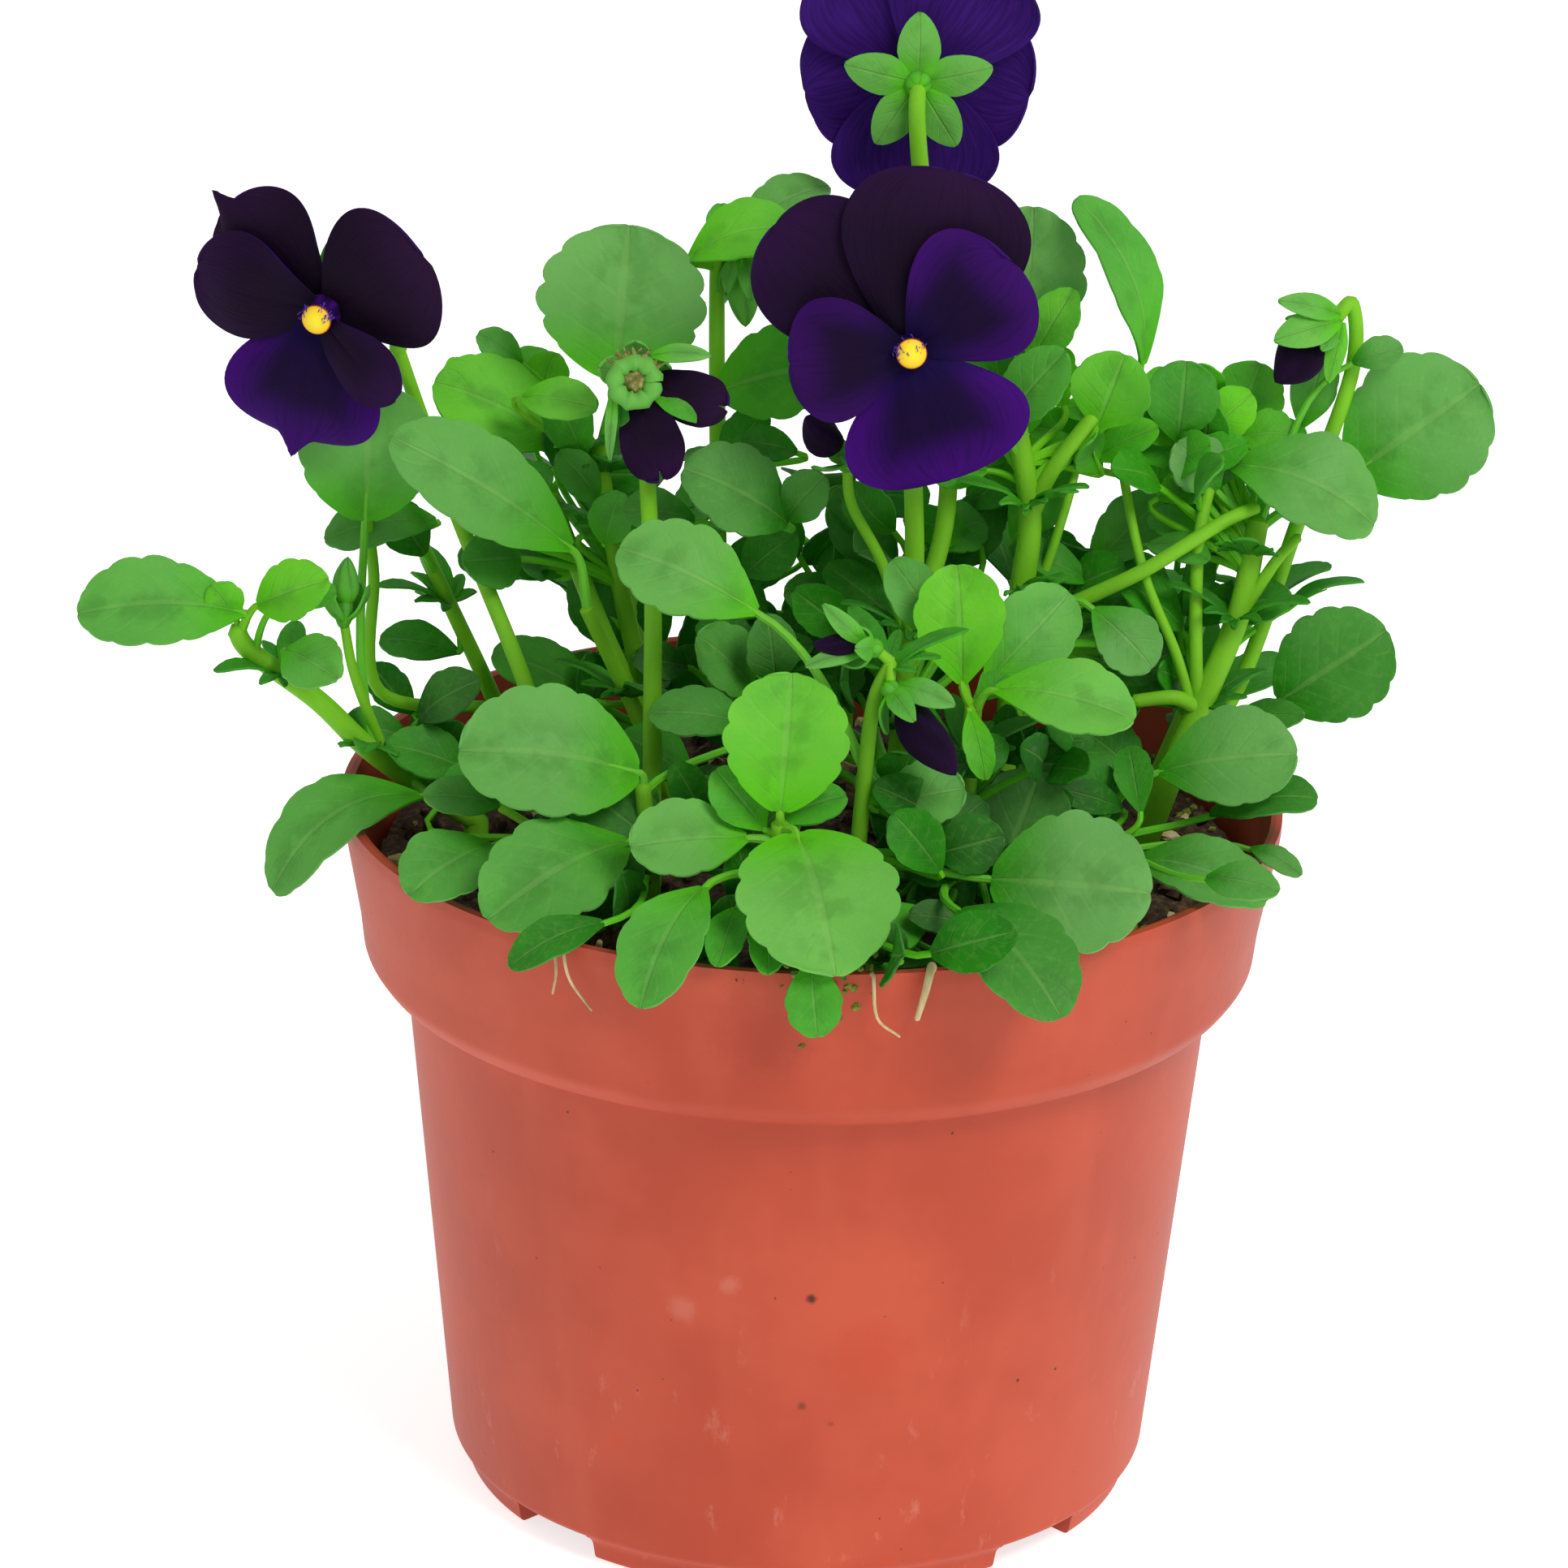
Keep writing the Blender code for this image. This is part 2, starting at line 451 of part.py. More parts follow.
class Blade:
    """A leaf, petal or sepal. Its midrib is arched from root to tip, and its outline is alike on both sides.
    A leaf has a petiole too: start is where it leaves the stem, and heading is the stem's direction there."""

    def __init__(self, root, tip, width, face, arch, outline, cup=0.14, start=None, heading=None):
        self.root = Vector(root)
        self.length = (Vector(tip) - self.root).length
        self.along = (Vector(tip) - self.root).normalized()
        self.up = Vector(face).normalized()
        self.up = (self.up - self.up.dot(self.along) * self.along).normalized()
        self.side = self.along.cross(self.up)
        self.width = width
        self.arch = arch
        self.outline = outline
        self.cup = cup
        self.petiole = self.petiole_rows(start, heading) if start else []

    def midrib(self, share):
        rise = 4 * self.arch * self.length * share * (1 - share)
        return self.root + self.along * self.length * share + self.up * rise

    def petiole_rows(self, start, heading):
        """(middle, side) at each row from the stem's middle to just before the blade's root."""
        reach = (self.root - start).length
        out = ((self.root - start).normalized() + heading * 0.4).normalized()
        bend = start + out * reach * 0.4
        near = self.root - (self.midrib(0.1) - self.root).normalized() * reach * 0.35
        rows, side, before = [], self.side, self.along
        for t in (0.67, 0.33, 0) if reach > 12 else (0.5, 0):
            u = 1 - t
            middle = u**3 * start + 3 * u * u * t * bend + 3 * u * t * t * near + t**3 * self.root
            way = u * u * (bend - start) + 2 * u * t * (near - bend) + t * t * (self.root - near)
            side = before.rotation_difference(way) @ side
            before = way
            rows.append((middle, side))
        return rows[::-1]

    def surface(self):
        """The middle sheet and its triangles: petiole rows of two points, blade rows of three, and the tip."""
        points, faces = [], []
        half = PETIOLE / 2 * min(1, 0.6 + self.width / 30)
        for row, (middle, side) in enumerate(self.petiole):
            points += [middle - side * half, middle + side * half]
            if row:
                a, b, c, d = range(len(points) - 4, len(points))
                faces += [(a, b, d), (a, d, c)]
        for row, (share, notch) in enumerate(self.outline[4]):
            half = self.width / 2 * half_width(self.outline, share, notch)
            lift = self.up * self.cup * half
            middle = self.midrib(share)
            points += [middle - self.side * half + lift, middle, middle + self.side * half + lift]
            if row:
                a, b, c, d, e, f = range(len(points) - 6, len(points))
                faces += [(a, b, e), (a, e, d), (b, c, e), (c, f, e)]
            elif self.petiole:
                a, b, d, e, f = range(len(points) - 5, len(points))
                faces += [(a, b, e), (a, e, d), (b, f, e)]
        a, b, c = range(len(points) - 3, len(points))
        points.append(self.midrib(1))
        faces += [(a, b, c + 1), (b, c, c + 1)]
        return points, faces

    def solid(self, group):
        points, faces = self.surface()
        made = mesh_object("blade", points, faces, group)
        stout = made.vertex_groups.new(name="petiole")
        stalk = 2 * len(self.petiole)
        stout.add(range(stalk), 1, "REPLACE")
        stout.add(range(stalk, len(points)), 0, "REPLACE")
        shell = made.modifiers.new("thickness", "SOLIDIFY")
        shell.thickness = PETIOLE_THICKNESS * MM
        shell.vertex_group = stout.name
        shell.thickness_vertex_group = BLADE / PETIOLE_THICKNESS
        shell.offset = 0
        made = applied(made)
        weld(made)
        return made

    def guard(self, outer=False):
        """Three sheets, in and just outside the leaf's faces, to test what it would cross. They leave out the
        petiole's end inside the stem or, where only the outer part is asked for, all but the blade."""
        points, faces = self.surface()
        stalk = 2 * len(self.petiole)
        first = 0
        if self.petiole:
            first = stalk + 3 if outer else 2
        kept = [face for face in faces if min(face) >= first]
        sheets, together = [], []
        for level in (-1, 0, 1):
            together += [tuple(i + len(sheets) for i in face) for face in kept]
            for i, point in enumerate(points):
                half = (PETIOLE_THICKNESS if i < stalk else BLADE) / 2
                sheets.append(point + self.up * level * (half + CLEARANCE))
        return sheets, together


def tube_guard(path, radius):
    """A four-sided sheath a little wider than a stem, to test what would cross it."""
    points, faces = [], []
    for i, at in enumerate(path):
        ahead = (path[min(i + 1, len(path) - 1)] - path[max(i - 1, 0)]).normalized()
        side = ahead.orthogonal().normalized()
        for k in range(4):
            turn = Matrix.Rotation(k * math.pi / 2, 3, ahead)
            points.append(at + turn @ side * (radius + CLEARANCE) * 1.2)
        if i:
            for k in range(4):
                a, b = 4 * i + k, 4 * i + (k + 1) % 4
                faces.append((a - 4, b - 4, b, a))
    return points, faces


def own_blades(node):
    return f"{node} blades"


class Clearances:
    """What is already placed, by node, as guards that a new piece must not cross."""

    def __init__(self):
        self.trees = {}

    def add(self, node, guard):
        self.trees.setdefault(node, []).append(BVHTree.FromPolygons(*guard))

    def add_mesh(self, node, obj, lift=0):
        points = [v.co / MM + UP * lift for v in obj.data.vertices]
        self.add(node, (points, [tuple(p.vertices) for p in obj.data.polygons]))

    def crosses(self, node, guard):
        mine = BVHTree.FromPolygons(*guard)
        return any(
            mine.overlap(placed) for other, trees in self.trees.items() if other != node for placed in trees
        )

    def crosses_others(self, node, guard):
        mine = BVHTree.FromPolygons(*guard)
        return any(
            mine.overlap(placed)
            for other, trees in self.trees.items()
            if other not in (node, own_blades(node))
            for placed in trees
        )


def leaf_outline(width, length):
    if width >= 14:
        return ROUND if width > 0.78 * length else TOOTHED_WIDE
    return TOOTHED if width > 8 else PLAIN


def place_leaf(node, leaf, stem, clear):
    """The leaf as a blade with its petiole, swung back or forward until it crosses nothing, or at least
    nothing of another node."""
    at, root, tip, width, face, arch = leaf
    start, heading = point_on(stem, at)
    fits = None
    for swing in SWINGS:
        shift = BACK * swing
        blade = Blade(
            Vector(root) + shift,
            Vector(tip) + shift * 1.2,
            width,
            face,
            arch,
            leaf_outline(width, (Vector(tip) - Vector(root)).length),
            start=start,
            heading=heading,
        )
        if not clear.crosses(node, blade.guard()):
            fits = blade
            break
        if fits is None and not clear.crosses_others(node, blade.guard()):
            fits = blade
    clear.add(node, fits.guard())
    clear.add(own_blades(node), fits.guard(outer=True))
    return fits


def place_stipule(node, at, heading, stem, clear):
    """A lobed stipule that stands out from the stem, or nothing where there is no room for it."""
    start, way = point_on(stem, at)
    for turn in (0, 30, -30, 60, -60, 90, -90):
        angle = math.radians(heading + turn)
        out = Vector((math.cos(angle), math.sin(angle), 0))
        out = (out + way * 0.5).normalized()
        face = UP - out * 0.4 - way * 0.2
        blade = Blade(start + out * 0.5, start + out * STIPULE_LENGTH, STIPULE_WIDTH, face, 0.12, LOBED)
        if not clear.crosses(node, blade.guard()):
            clear.add(node, blade.guard())
            return [blade]
    return []


def frame_facing(facing, roll):
    """The right and up directions in the plane of a flower that faces this way, rolled anticlockwise."""
    facing = Vector(facing).normalized()
    right = UP.cross(facing).normalized()
    right = Matrix.Rotation(math.radians(roll), 3, facing) @ right
    return facing, right, facing.cross(right)


def fused(name, pieces, finish, group):
    """One closed body from pieces that overlap."""
    first, *others = pieces
    if others:
        joined = new_collection("joined")
        for piece in others:
            move_to(piece, joined)
        union = first.modifiers.new("union", "BOOLEAN")
        union.operation = "UNION"
        union.operand_type = "COLLECTION"
        union.collection = joined
        union.solver = "MANIFOLD"
        first = applied(first)
        for piece in list(joined.objects):
            bpy.data.objects.remove(piece, do_unlink=True)
        bpy.data.collections.remove(joined)
    move_to(first, group)
    first.name = name
    first.data.name = name
    first.data.materials.clear()
    first.data.materials.append(material(finish))
    return first


def spindle(root, tip, width, group, rings=3, sides=6, fullest=0.8):
    """A closed bud shape from root to tip. It is fullest before its middle where that power is under 1."""
    root, tip = Vector(root), Vector(tip)
    along = (tip - root).normalized()
    side = along.orthogonal().normalized()
    points, faces = [root], []
    for ring in range(1, rings + 1):
        share = ring / (rings + 1)
        radius = width / 2 * math.sin(math.pi * share**fullest) ** 0.7
        for k in range(sides):
            turn = Matrix.Rotation(2 * math.pi * k / sides, 3, along)
            points.append(root.lerp(tip, share) + turn @ side * radius)
    points.append(tip)
    for k in range(sides):
        after = (k + 1) % sides
        faces.append((0, 1 + after, 1 + k))
        for ring in range(rings - 1):
            a = 1 + ring * sides
            faces.append((a + k, a + after, a + sides + after, a + sides + k))
        last = 1 + (rings - 1) * sides
        faces.append((last + k, last + after, len(points) - 1))
    made = mesh_object("spindle", points, faces, group)
    weld(made)
    return made


def turned(name, profile, steps, group):
    """A profile of (radius, height), turned round the pot's axis."""
    mesh = bpy.data.meshes.new(name)
    points = [(r * MM, 0, z * MM) for r, z in profile]
    mesh.from_pydata(points, [(i, i + 1) for i in range(len(points) - 1)], [])
    made = bpy.data.objects.new(name, mesh)
    group.objects.link(made)
    screw = made.modifiers.new("turn", "SCREW")
    screw.steps = screw.render_steps = steps
    screw.use_merge_vertices = True
    screw.merge_threshold = 1e-6
    made = applied(made)
    weld(made)
    return made


def cutter(obj, name, cutters, target):
    """Makes the object a cutter of the target."""
    obj.name = name
    move_to(obj, cutters)
    obj.hide_render = True
    obj.display_type = "WIRE"
    cut = target.modifiers.new(name, "BOOLEAN")
    cut.object = obj


def pot_outside():
    """(radius, height) down the outer side, from the rim to the middle of the base."""
    collar = POT_HEIGHT - COLLAR_HEIGHT
    return [
        (RIM_RADIUS, POT_HEIGHT),
        (RIM_RADIUS, POT_HEIGHT - 1.6),
        (COLLAR_FOOT_RADIUS + 0.5, collar + 5),
        (COLLAR_FOOT_RADIUS, collar + 0.5),
        (COLLAR_FOOT_RADIUS - 1.5, collar - 1.7),
        (BODY_RADIUS, collar - 2.8),
        (BASE_RADIUS, FOOT_HEIGHT),
        (BASE_RADIUS - 1.4, FOOT_HEIGHT - 1),
        (BASE_RADIUS - 2, 0),
        (0, 0),
    ]


def pot_inside():
    """(radius, height) up the inner side, from the middle of the floor to the rim."""
    collar = POT_HEIGHT - COLLAR_HEIGHT
    return [
        (0, WALL),
        (BASE_RADIUS - WALL - 1.4, WALL),
        (BODY_RADIUS - WALL, collar - 1.6),
        (COLLAR_FOOT_RADIUS - WALL - 1.4, collar + 0.6),
        (COLLAR_FOOT_RADIUS - WALL, collar + 3.5),
        (RIM_RADIUS - WALL, POT_HEIGHT),
    ]


def build_pot(group, cutters):
    pot = turned("pot", pot_inside() + pot_outside(), POT_STEPS, group)
    reach = BASE_RADIUS + 5 - DRAIN_INNER_RADIUS
    centre = DRAIN_INNER_RADIUS + reach / 2
    for angle in DRAIN_ANGLES:
        bpy.ops.mesh.primitive_cube_add(size=MM)
        slot = bpy.context.object
        turn = math.radians(angle - 90)
        slot.scale = (reach, DRAIN_WIDTH, 2 * FOOT_HEIGHT)
        slot.location = (centre * math.cos(turn) * MM, centre * math.sin(turn) * MM, 0)
        slot.rotation_euler.z = turn
        cutter(slot, f"drain_{angle}", cutters, pot)
    return pot


def soil_height(x, y):
    """The mix's uneven surface, a little lower round its edge."""
    waves = math.sin(0.21 * x + 1) * math.cos(0.17 * y) + 0.5 * math.sin(0.37 * y - 0.29 * x)
    return SOIL_TOP + SOIL_BUMP * waves - 2 * (math.hypot(x, y) / RIM_RADIUS) ** 4


def build_soil(group, roots, cutters):
    """The mix fills the pot, with a plain hole for each stem."""
    edge = COLLAR_FOOT_RADIUS - WALL - 2 * GAP
    profile = [(r - 2 * GAP, z + GAP) for r, z in pot_inside()[1:5]]
    profile = [(0, WALL + GAP), *profile, (edge, SOIL_TOP - 1.5)]
    profile += [(edge * 0.75, SOIL_TOP), (edge * 0.42, SOIL_TOP), (0, SOIL_TOP)]
    soil = turned("potting_mix", profile[::-1], SOIL_STEPS, group)
    for vertex in soil.data.vertices:
        if vertex.co.z > (SOIL_TOP - 2) * MM:
            vertex.co.z = soil_height(vertex.co.x / MM, vertex.co.y / MM) * MM
    sides = 6
    for i, (x, y, thick) in enumerate(roots):
        radius = (thick / 2 + GAP) / math.cos(math.pi / sides)
        bpy.ops.mesh.primitive_cylinder_add(
            vertices=sides,
            radius=radius * MM,
            depth=2 * (ROOT_DEPTH + GAP) * MM,
            location=(x * MM, y * MM, STEM_FOOT * MM),
        )
        cutter(bpy.context.object, f"root_hole_{i}", cutters, soil)
    return soil


def stem_path(points):
    """The stem's points from the soil up, with a straight root below."""
    points = smooth_path(points, 2)
    return [points[0] - UP * ROOT_DEPTH] + points


def taper(path, thick, end=0.75):
    last = len(path) - 1
    return [thick / 2 * (1 - (1 - end) * i / last) for i in range(last + 1)]


def add_stalk(stalk, end, pieces, paths, clear, group):
    """The stalk of a bloom or bud, from its shoot to this end."""
    bearer, at, points, thick = stalk
    start, _ = point_on(paths[bearer][1:], at)
    path = smooth_path([start, *points, end], 2)
    pieces[bearer].append(tube(path, taper(path, thick, 0.85), group, 6 if thick > 2.5 else 4))
    clear.add(bearer, tube_guard(path[1:], thick / 2))


def ring_of_blades(centre, frame, entries, outline, cup, side=1):
    """Blades that spread from a flower's middle, each given by heading, length, width, stand, lean and arch."""
    facing, right, up = frame
    made = []
    for angle, length, width, stand, lean, arch in entries:
        turn, tilt = math.radians(angle), math.radians(lean)
        out = right * math.cos(turn) + up * math.sin(turn)
        way = out * math.cos(tilt) + facing * math.sin(tilt)
        face = facing * math.cos(tilt) - out * math.sin(tilt)
        root = centre + out * 0.8 + facing * stand
        made.append(Blade(root, root + way * (length - 0.8), width, face * side, arch, outline, cup=cup))
    return made


def build_bloom(name, bloom, pieces, paths, clear, group):
    centre = Vector(bloom["centre"])
    frame = facing, _, _ = frame_facing(bloom["facing"], bloom["roll"])
    solids = [spindle(centre - facing * 2.2, centre + facing * 1.4, 4.6, group)]
    for blade in ring_of_blades(centre, frame, bloom["petals"], PETAL, -0.08):
        solids.append(blade.solid(group))
        clear.add(f"{name}_petals", blade.guard())
    fused(f"{name}_petals", solids, VIOLET, group)
    if len(bloom["petals"]) == 5:
        eye = spindle(centre + facing * 1.7, centre + facing * 3.1, 3.8, group, rings=2)
        fused(f"{name}_eye", [eye], YELLOW, group)
    bearer = bloom["stalk"][0]
    back = centre - facing * (2.2 + GAP)
    pieces[bearer].append(spindle(back - facing * 3.4, back, 3.4, group))
    length, width, lean = bloom["sepals"]
    entries = [(angle, length, width, 0, -lean, 0.05) for angle in SEPAL_ANGLES]
    outline = SEPAL if width > 5 else SLIM
    for blade in ring_of_blades(back - facing * 1.7, frame, entries, outline, -0.1, side=-1):
        pieces[bearer].append(blade.solid(group))
        clear.add(bearer, blade.guard())
    add_stalk(bloom["stalk"], back - facing * 2.4, pieces, paths, clear, group)


def build_bud(name, bud, pieces, paths, clear, group):
    root, tip, width, violet, stalk = bud
    root, tip = Vector(root), Vector(tip)
    along = (tip - root).normalized()
    bearer = stalk[0]
    if violet:
        fused(f"{name}_petals", [spindle(root, tip, width, group, rings=4)], VIOLET, group)
        clear.add(f"{name}_petals", tube_guard([root, tip], width / 2))
    cup = root - along * (GAP if violet else -0.4 * (tip - root).length)
    pieces[bearer].append(spindle(root - along * 3.2, cup, 2.4, group, rings=2))
    if not violet:
        pieces[bearer].append(spindle(root, tip, width, group, rings=3))
    side = along.orthogonal().normalized()
    for k in range(3):
        out = Matrix.Rotation(math.radians(120 * k + 60), 3, along) @ side
        foot = root - along * 1.8 + out * 0.4
        end = root + along * (tip - root).length * 0.5 + out * (width / 2 + 1.6)
        blade = Blade(foot, end, 3, out, 0.12, SLIM, cup=-0.1)
        pieces[bearer].append(blade.solid(group))
        clear.add(bearer, blade.guard())
    add_stalk(stalk, root - along * 2, pieces, paths, clear, group)


def rear_shoot(name, entry, height, headings):
    """A leafy stem at the back, its leaves spread by heading from low and wide to high and close."""
    draw = random.Random(name)
    x, y = entry
    foot = Vector((x, y, STEM_FOOT))
    top = Vector((x * 1.12, y * 1.12, STEM_FOOT + height))
    leaves = []
    for i, heading in enumerate(headings):
        rank = i / (len(headings) - 1)
        turn = math.radians(heading)
        out = Vector((math.cos(turn), math.sin(turn), 0))
        at = 0.35 + 0.6 * rank
        root = foot.lerp(top, at) + out * (11 - 5 * rank) + UP * (6 + 3 * rank)
        rise = 0.1 + 0.8 * rank
        tip = root + (out + UP * rise).normalized() * draw.uniform(13, 17)
        leaves.append((at, root, tip, draw.uniform(9, 12.5), UP - out * 0.3, 0.12))
    return {"stem": [foot, top], "thick": 3.2, "leaves": leaves}


def pot_guard(group, clear):
    """The rim and wall that leaves keep clear of."""
    inner = [(r - CLEARANCE, z) for r, z in pot_inside()[2:]]
    outer = [(r + CLEARANCE, z) for r, z in pot_outside()[:7]]
    rim = [(RIM_RADIUS - WALL / 2, POT_HEIGHT + CLEARANCE)]
    wall = turned("wall_guard", inner + rim + outer, POT_STEPS, group)
    clear.add_mesh("pot", wall)
    bpy.data.objects.remove(wall)


def main():
    for obj in list(bpy.data.objects):
        bpy.data.objects.remove(obj, do_unlink=True)
    group = new_collection("potted_viola")
    cutters = new_collection("cutters")
    cutters.hide_render = True
    shoots = dict(SHOOTS)
    for name, (entry, height, headings) in BACK_SHOOTS.items():
        shoots[name] = rear_shoot(name, entry, height, headings)

    pot = build_pot(group, cutters)
    roots = [(*shoot["stem"][0][:2], shoot["thick"]) for shoot in shoots.values()]
    roots.append((*DRY_STEM[0][:2], DRY_STEM_WIDTH))
    soil = build_soil(group, roots, cutters)
    clear = Clearances()
    pot_guard(group, clear)
    clear.add_mesh("potting_mix", soil, CLEARANCE)

    # Stems, blooms and buds come first, and the leaves then find room among them.
    pieces, paths = {}, {}
    for name, shoot in shoots.items():
        path = paths[name] = stem_path(shoot["stem"])
        pieces[name] = [tube(path, taper(path, shoot["thick"]), group, 6)]
        clear.add(name, tube_guard(path[1:], shoot["thick"] / 2))
    for name, bloom in BLOOMS.items():
        build_bloom(name, bloom, pieces, paths, clear, group)
    for name, bud in BUDS.items():
        build_bud(name, bud, pieces, paths, clear, group)
    for name, shoot in shoots.items():
        for leaf in shoot.get("leaves", ()):
            pieces[name].append(place_leaf(name, leaf, paths[name][1:], clear).solid(group))
    for name, shoot in shoots.items():
        for at, heading in shoot.get("stipules", ()):
            for blade in place_stipule(name, at, heading, paths[name][1:], clear):
                pieces[name].append(blade.solid(group))
    for name in shoots:
        fused(name, pieces[name], LEAF, group)

    path = stem_path(DRY_STEM)
    fused("dry_stem", [tube(path, taper(path, DRY_STEM_WIDTH), group)], STRAW, group)
    pot.data.materials.append(material(TERRACOTTA))
    soil.data.materials.append(material(EARTH))
    for obj in group.objects:
        obj.data.shade_smooth()
        obj.data.set_sharp_from_angle(angle=math.radians(35))


main()
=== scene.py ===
"""A violet viola in a nursery pot, dressed: the moulded pot, the potting mix with its crumbs, moss and
perlite, the leafy stems, the blooms and the buds. Lengths are in millimetres and become metres as each mesh
is made.

Each stem, leaf and bloom grows from the same description as its solid in the frame and replaces that solid.
Leaves find room among each other in the same order, so they come out in the same places."""

import math
import random

import bpy
from mathutils import Matrix, Vector, noise
from mathutils.bvhtree import BVHTree


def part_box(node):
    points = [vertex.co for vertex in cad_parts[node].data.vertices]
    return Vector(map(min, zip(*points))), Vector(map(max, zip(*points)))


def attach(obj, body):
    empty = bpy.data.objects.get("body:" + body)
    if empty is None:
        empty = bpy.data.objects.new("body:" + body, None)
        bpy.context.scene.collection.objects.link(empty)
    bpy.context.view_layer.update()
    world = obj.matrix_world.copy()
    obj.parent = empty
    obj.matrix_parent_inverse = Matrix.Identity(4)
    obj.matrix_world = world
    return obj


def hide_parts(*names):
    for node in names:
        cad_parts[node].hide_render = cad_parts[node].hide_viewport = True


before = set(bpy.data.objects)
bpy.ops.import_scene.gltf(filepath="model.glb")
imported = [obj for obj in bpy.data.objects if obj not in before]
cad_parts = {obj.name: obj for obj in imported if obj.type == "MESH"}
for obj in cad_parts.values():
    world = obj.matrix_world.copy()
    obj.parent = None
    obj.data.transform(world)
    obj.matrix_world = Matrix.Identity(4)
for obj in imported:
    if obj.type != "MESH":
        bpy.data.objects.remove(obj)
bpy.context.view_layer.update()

MM = 0.001
UP = Vector((0, 0, 1))

# Pot, with its rim and height as they are in the frame
POT_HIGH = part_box("pot")[1] / MM
RIM_RADIUS = round(POT_HIGH.x, 1)
POT_HEIGHT = round(POT_HIGH.z, 1)
COLLAR_FOOT_RADIUS = 57.1
COLLAR_HEIGHT = 20.0
BODY_RADIUS = 51.8
BASE_RADIUS = 45.4
FOOT_HEIGHT = 4.0
WALL = 1.5
POT_STEPS = 36  # round the plain pot that leaves keep clear of
FINE_POT_STEPS = 180
INNER_ROUNDING = 1.2
OUTER_ROUNDING = 0.8
DRAIN_ANGLES = (45, 135, 225, 315)
DRAIN_WIDTH = 14.0
DRAIN_INNER_RADIUS = 39.0

# Potting mix
SOIL_TOP = 84.0
SOIL_BUMP = 1.3
SOIL_STEPS = 20  # round the plain mix that leaves keep clear of
FINE_SOIL_STEPS = 150
FINE_SOIL_RINGS = 44
CRUMBS = 900
PERLITE_EACH = 26  # every so many crumbs one is perlite, and of the others every so many one is bark
BARK_EACH = 7
STEM_FOOT = 86.0  # where a stem clears the mix; its straight root goes down from there
ROOT_DEPTH = 16.0
GAP = 0.35
SOIL_EDGE = COLLAR_FOOT_RADIUS - WALL - 2 * GAP
# Moss round the edge: each clump's heading in degrees, its crumbs, and its spread in degrees.
MOSS_CLUMPS = ((-88, 230, 12), (-40, 120, 9), (-135, 90, 8), (30, 50, 7))
TUFT_CRUMBS = 150  # in the tuft that hangs over the front of the rim

# Foliage
BLADE = 0.7  # how thick a leaf or a petal is
PETIOLE = 1.7
PETIOLE_THICKNESS = 1.4
TOOTH = 0.17  # how deep a leaf's margin is notched, as a share of its half width
STIPULE_LENGTH = 11.0
STIPULE_WIDTH = 5.5
WIDE_LEAF = 14  # from this width on a leaf is cut twice on each side,
ROUND_LEAF = 0.78  # and it is round where its width is over this share of its length
NARROW_LEAF = 8  # up to this width a leaf isn't cut at all
CLEARANCE = 0.3
BACK = Vector((0, 0.93, -0.36))  # the way that a crowded leaf swings, or against it
SWINGS = (0, 1, -1, 2, -2, 3, -3, 4, -4, 5, -5, 6.5, -6.5, 8, -8, 10, -10, 12, -12)

# Fine detail
VEINS = 5.5  # side veins on each side of a leaf
VEIN_SLANT = 0.34  # how far along the leaf a side vein runs on its way to the margin
STEM_TONE = 1.3  # the tone of a stem, yellower than any leaf
# A stem's painted pale sheen.
STEM_SHEEN = 0.1
FINE_STEM = 0.84  # a fine stem's thickness as a share of its solid's, which is plain
FINE_STALK = 0.94  # and a fine stalk's, where it starts
FINE_STEPS = 9  # along a fine stem, between two of its points
HAIRS = 46  # in the tufts of one eye
FRAYS = 14  # on the brown edge of a withered bloom's calyx
FULL_BLOOM = 5  # petals; a bloom with fewer has withered
# Dry roots on the mix and over the rim. The thick ones end above this height.
THICK_ROOT_END = 86.5
DRY_ROOTS = (
    [(-27, -46, 84), (-26, -47, 88), (-25.5, -49, 91)],
    [(12, -46, 84), (13, -48, 87.5), (16, -50, 88.5), (18, -50, 86)],
    [(6, -52, 84), (8, -53, 86.5), (11, -53.5, 87)],
    [(-29, -49, 90), (-29.8, -52.6, 93), (-29.5, -53.9, 90), (-28.6, -54.2, 87.5), (-26.2, -55.2, 84.6)],
    [(-30, -49, 90), (-31, -52, 92.7), (-30.6, -53.5, 89), (-31, -53.6, 86)],
    [(14.5, -56, 90), (14.6, -58.6, 92.8), (13.9, -60, 90), (13, -60.2, 86.6)],
    [(7, -57, 90), (7.6, -60.4, 92.2), (8.2, -61, 87), (11, -60.6, 84.4)],
)

# Marks on the pot and a painted shadow on its collar: middle, radii of its full and faded parts, strength
# and colour.
POT_MARKS_AND_SHADOW = (
    ((1.3, -49, 44), 0.3, 1.0, 1.0, (58, 26, 20)),
    ((-14.7, -47, 41), 0.5, 2.6, 0.1, (232, 190, 172)),
    ((-8.8, -48.5, 45.4), 0.4, 1.8, 0.12, (232, 190, 172)),
    ((8.5, -47, 36), 1, 7, 0.3, (192, 56, 20)),
    ((0.4, -47.5, 28.6), 0.2, 0.9, 0.8, (110, 48, 26)),
    ((4, -47, 26), 0.2, 0.7, 0.7, (110, 48, 26)),
    # A painted shadow that the foliage casts on the front of the collar.
    ((-6, -58, 84), 2, 9, 0.3, (150, 40, 22)),
)
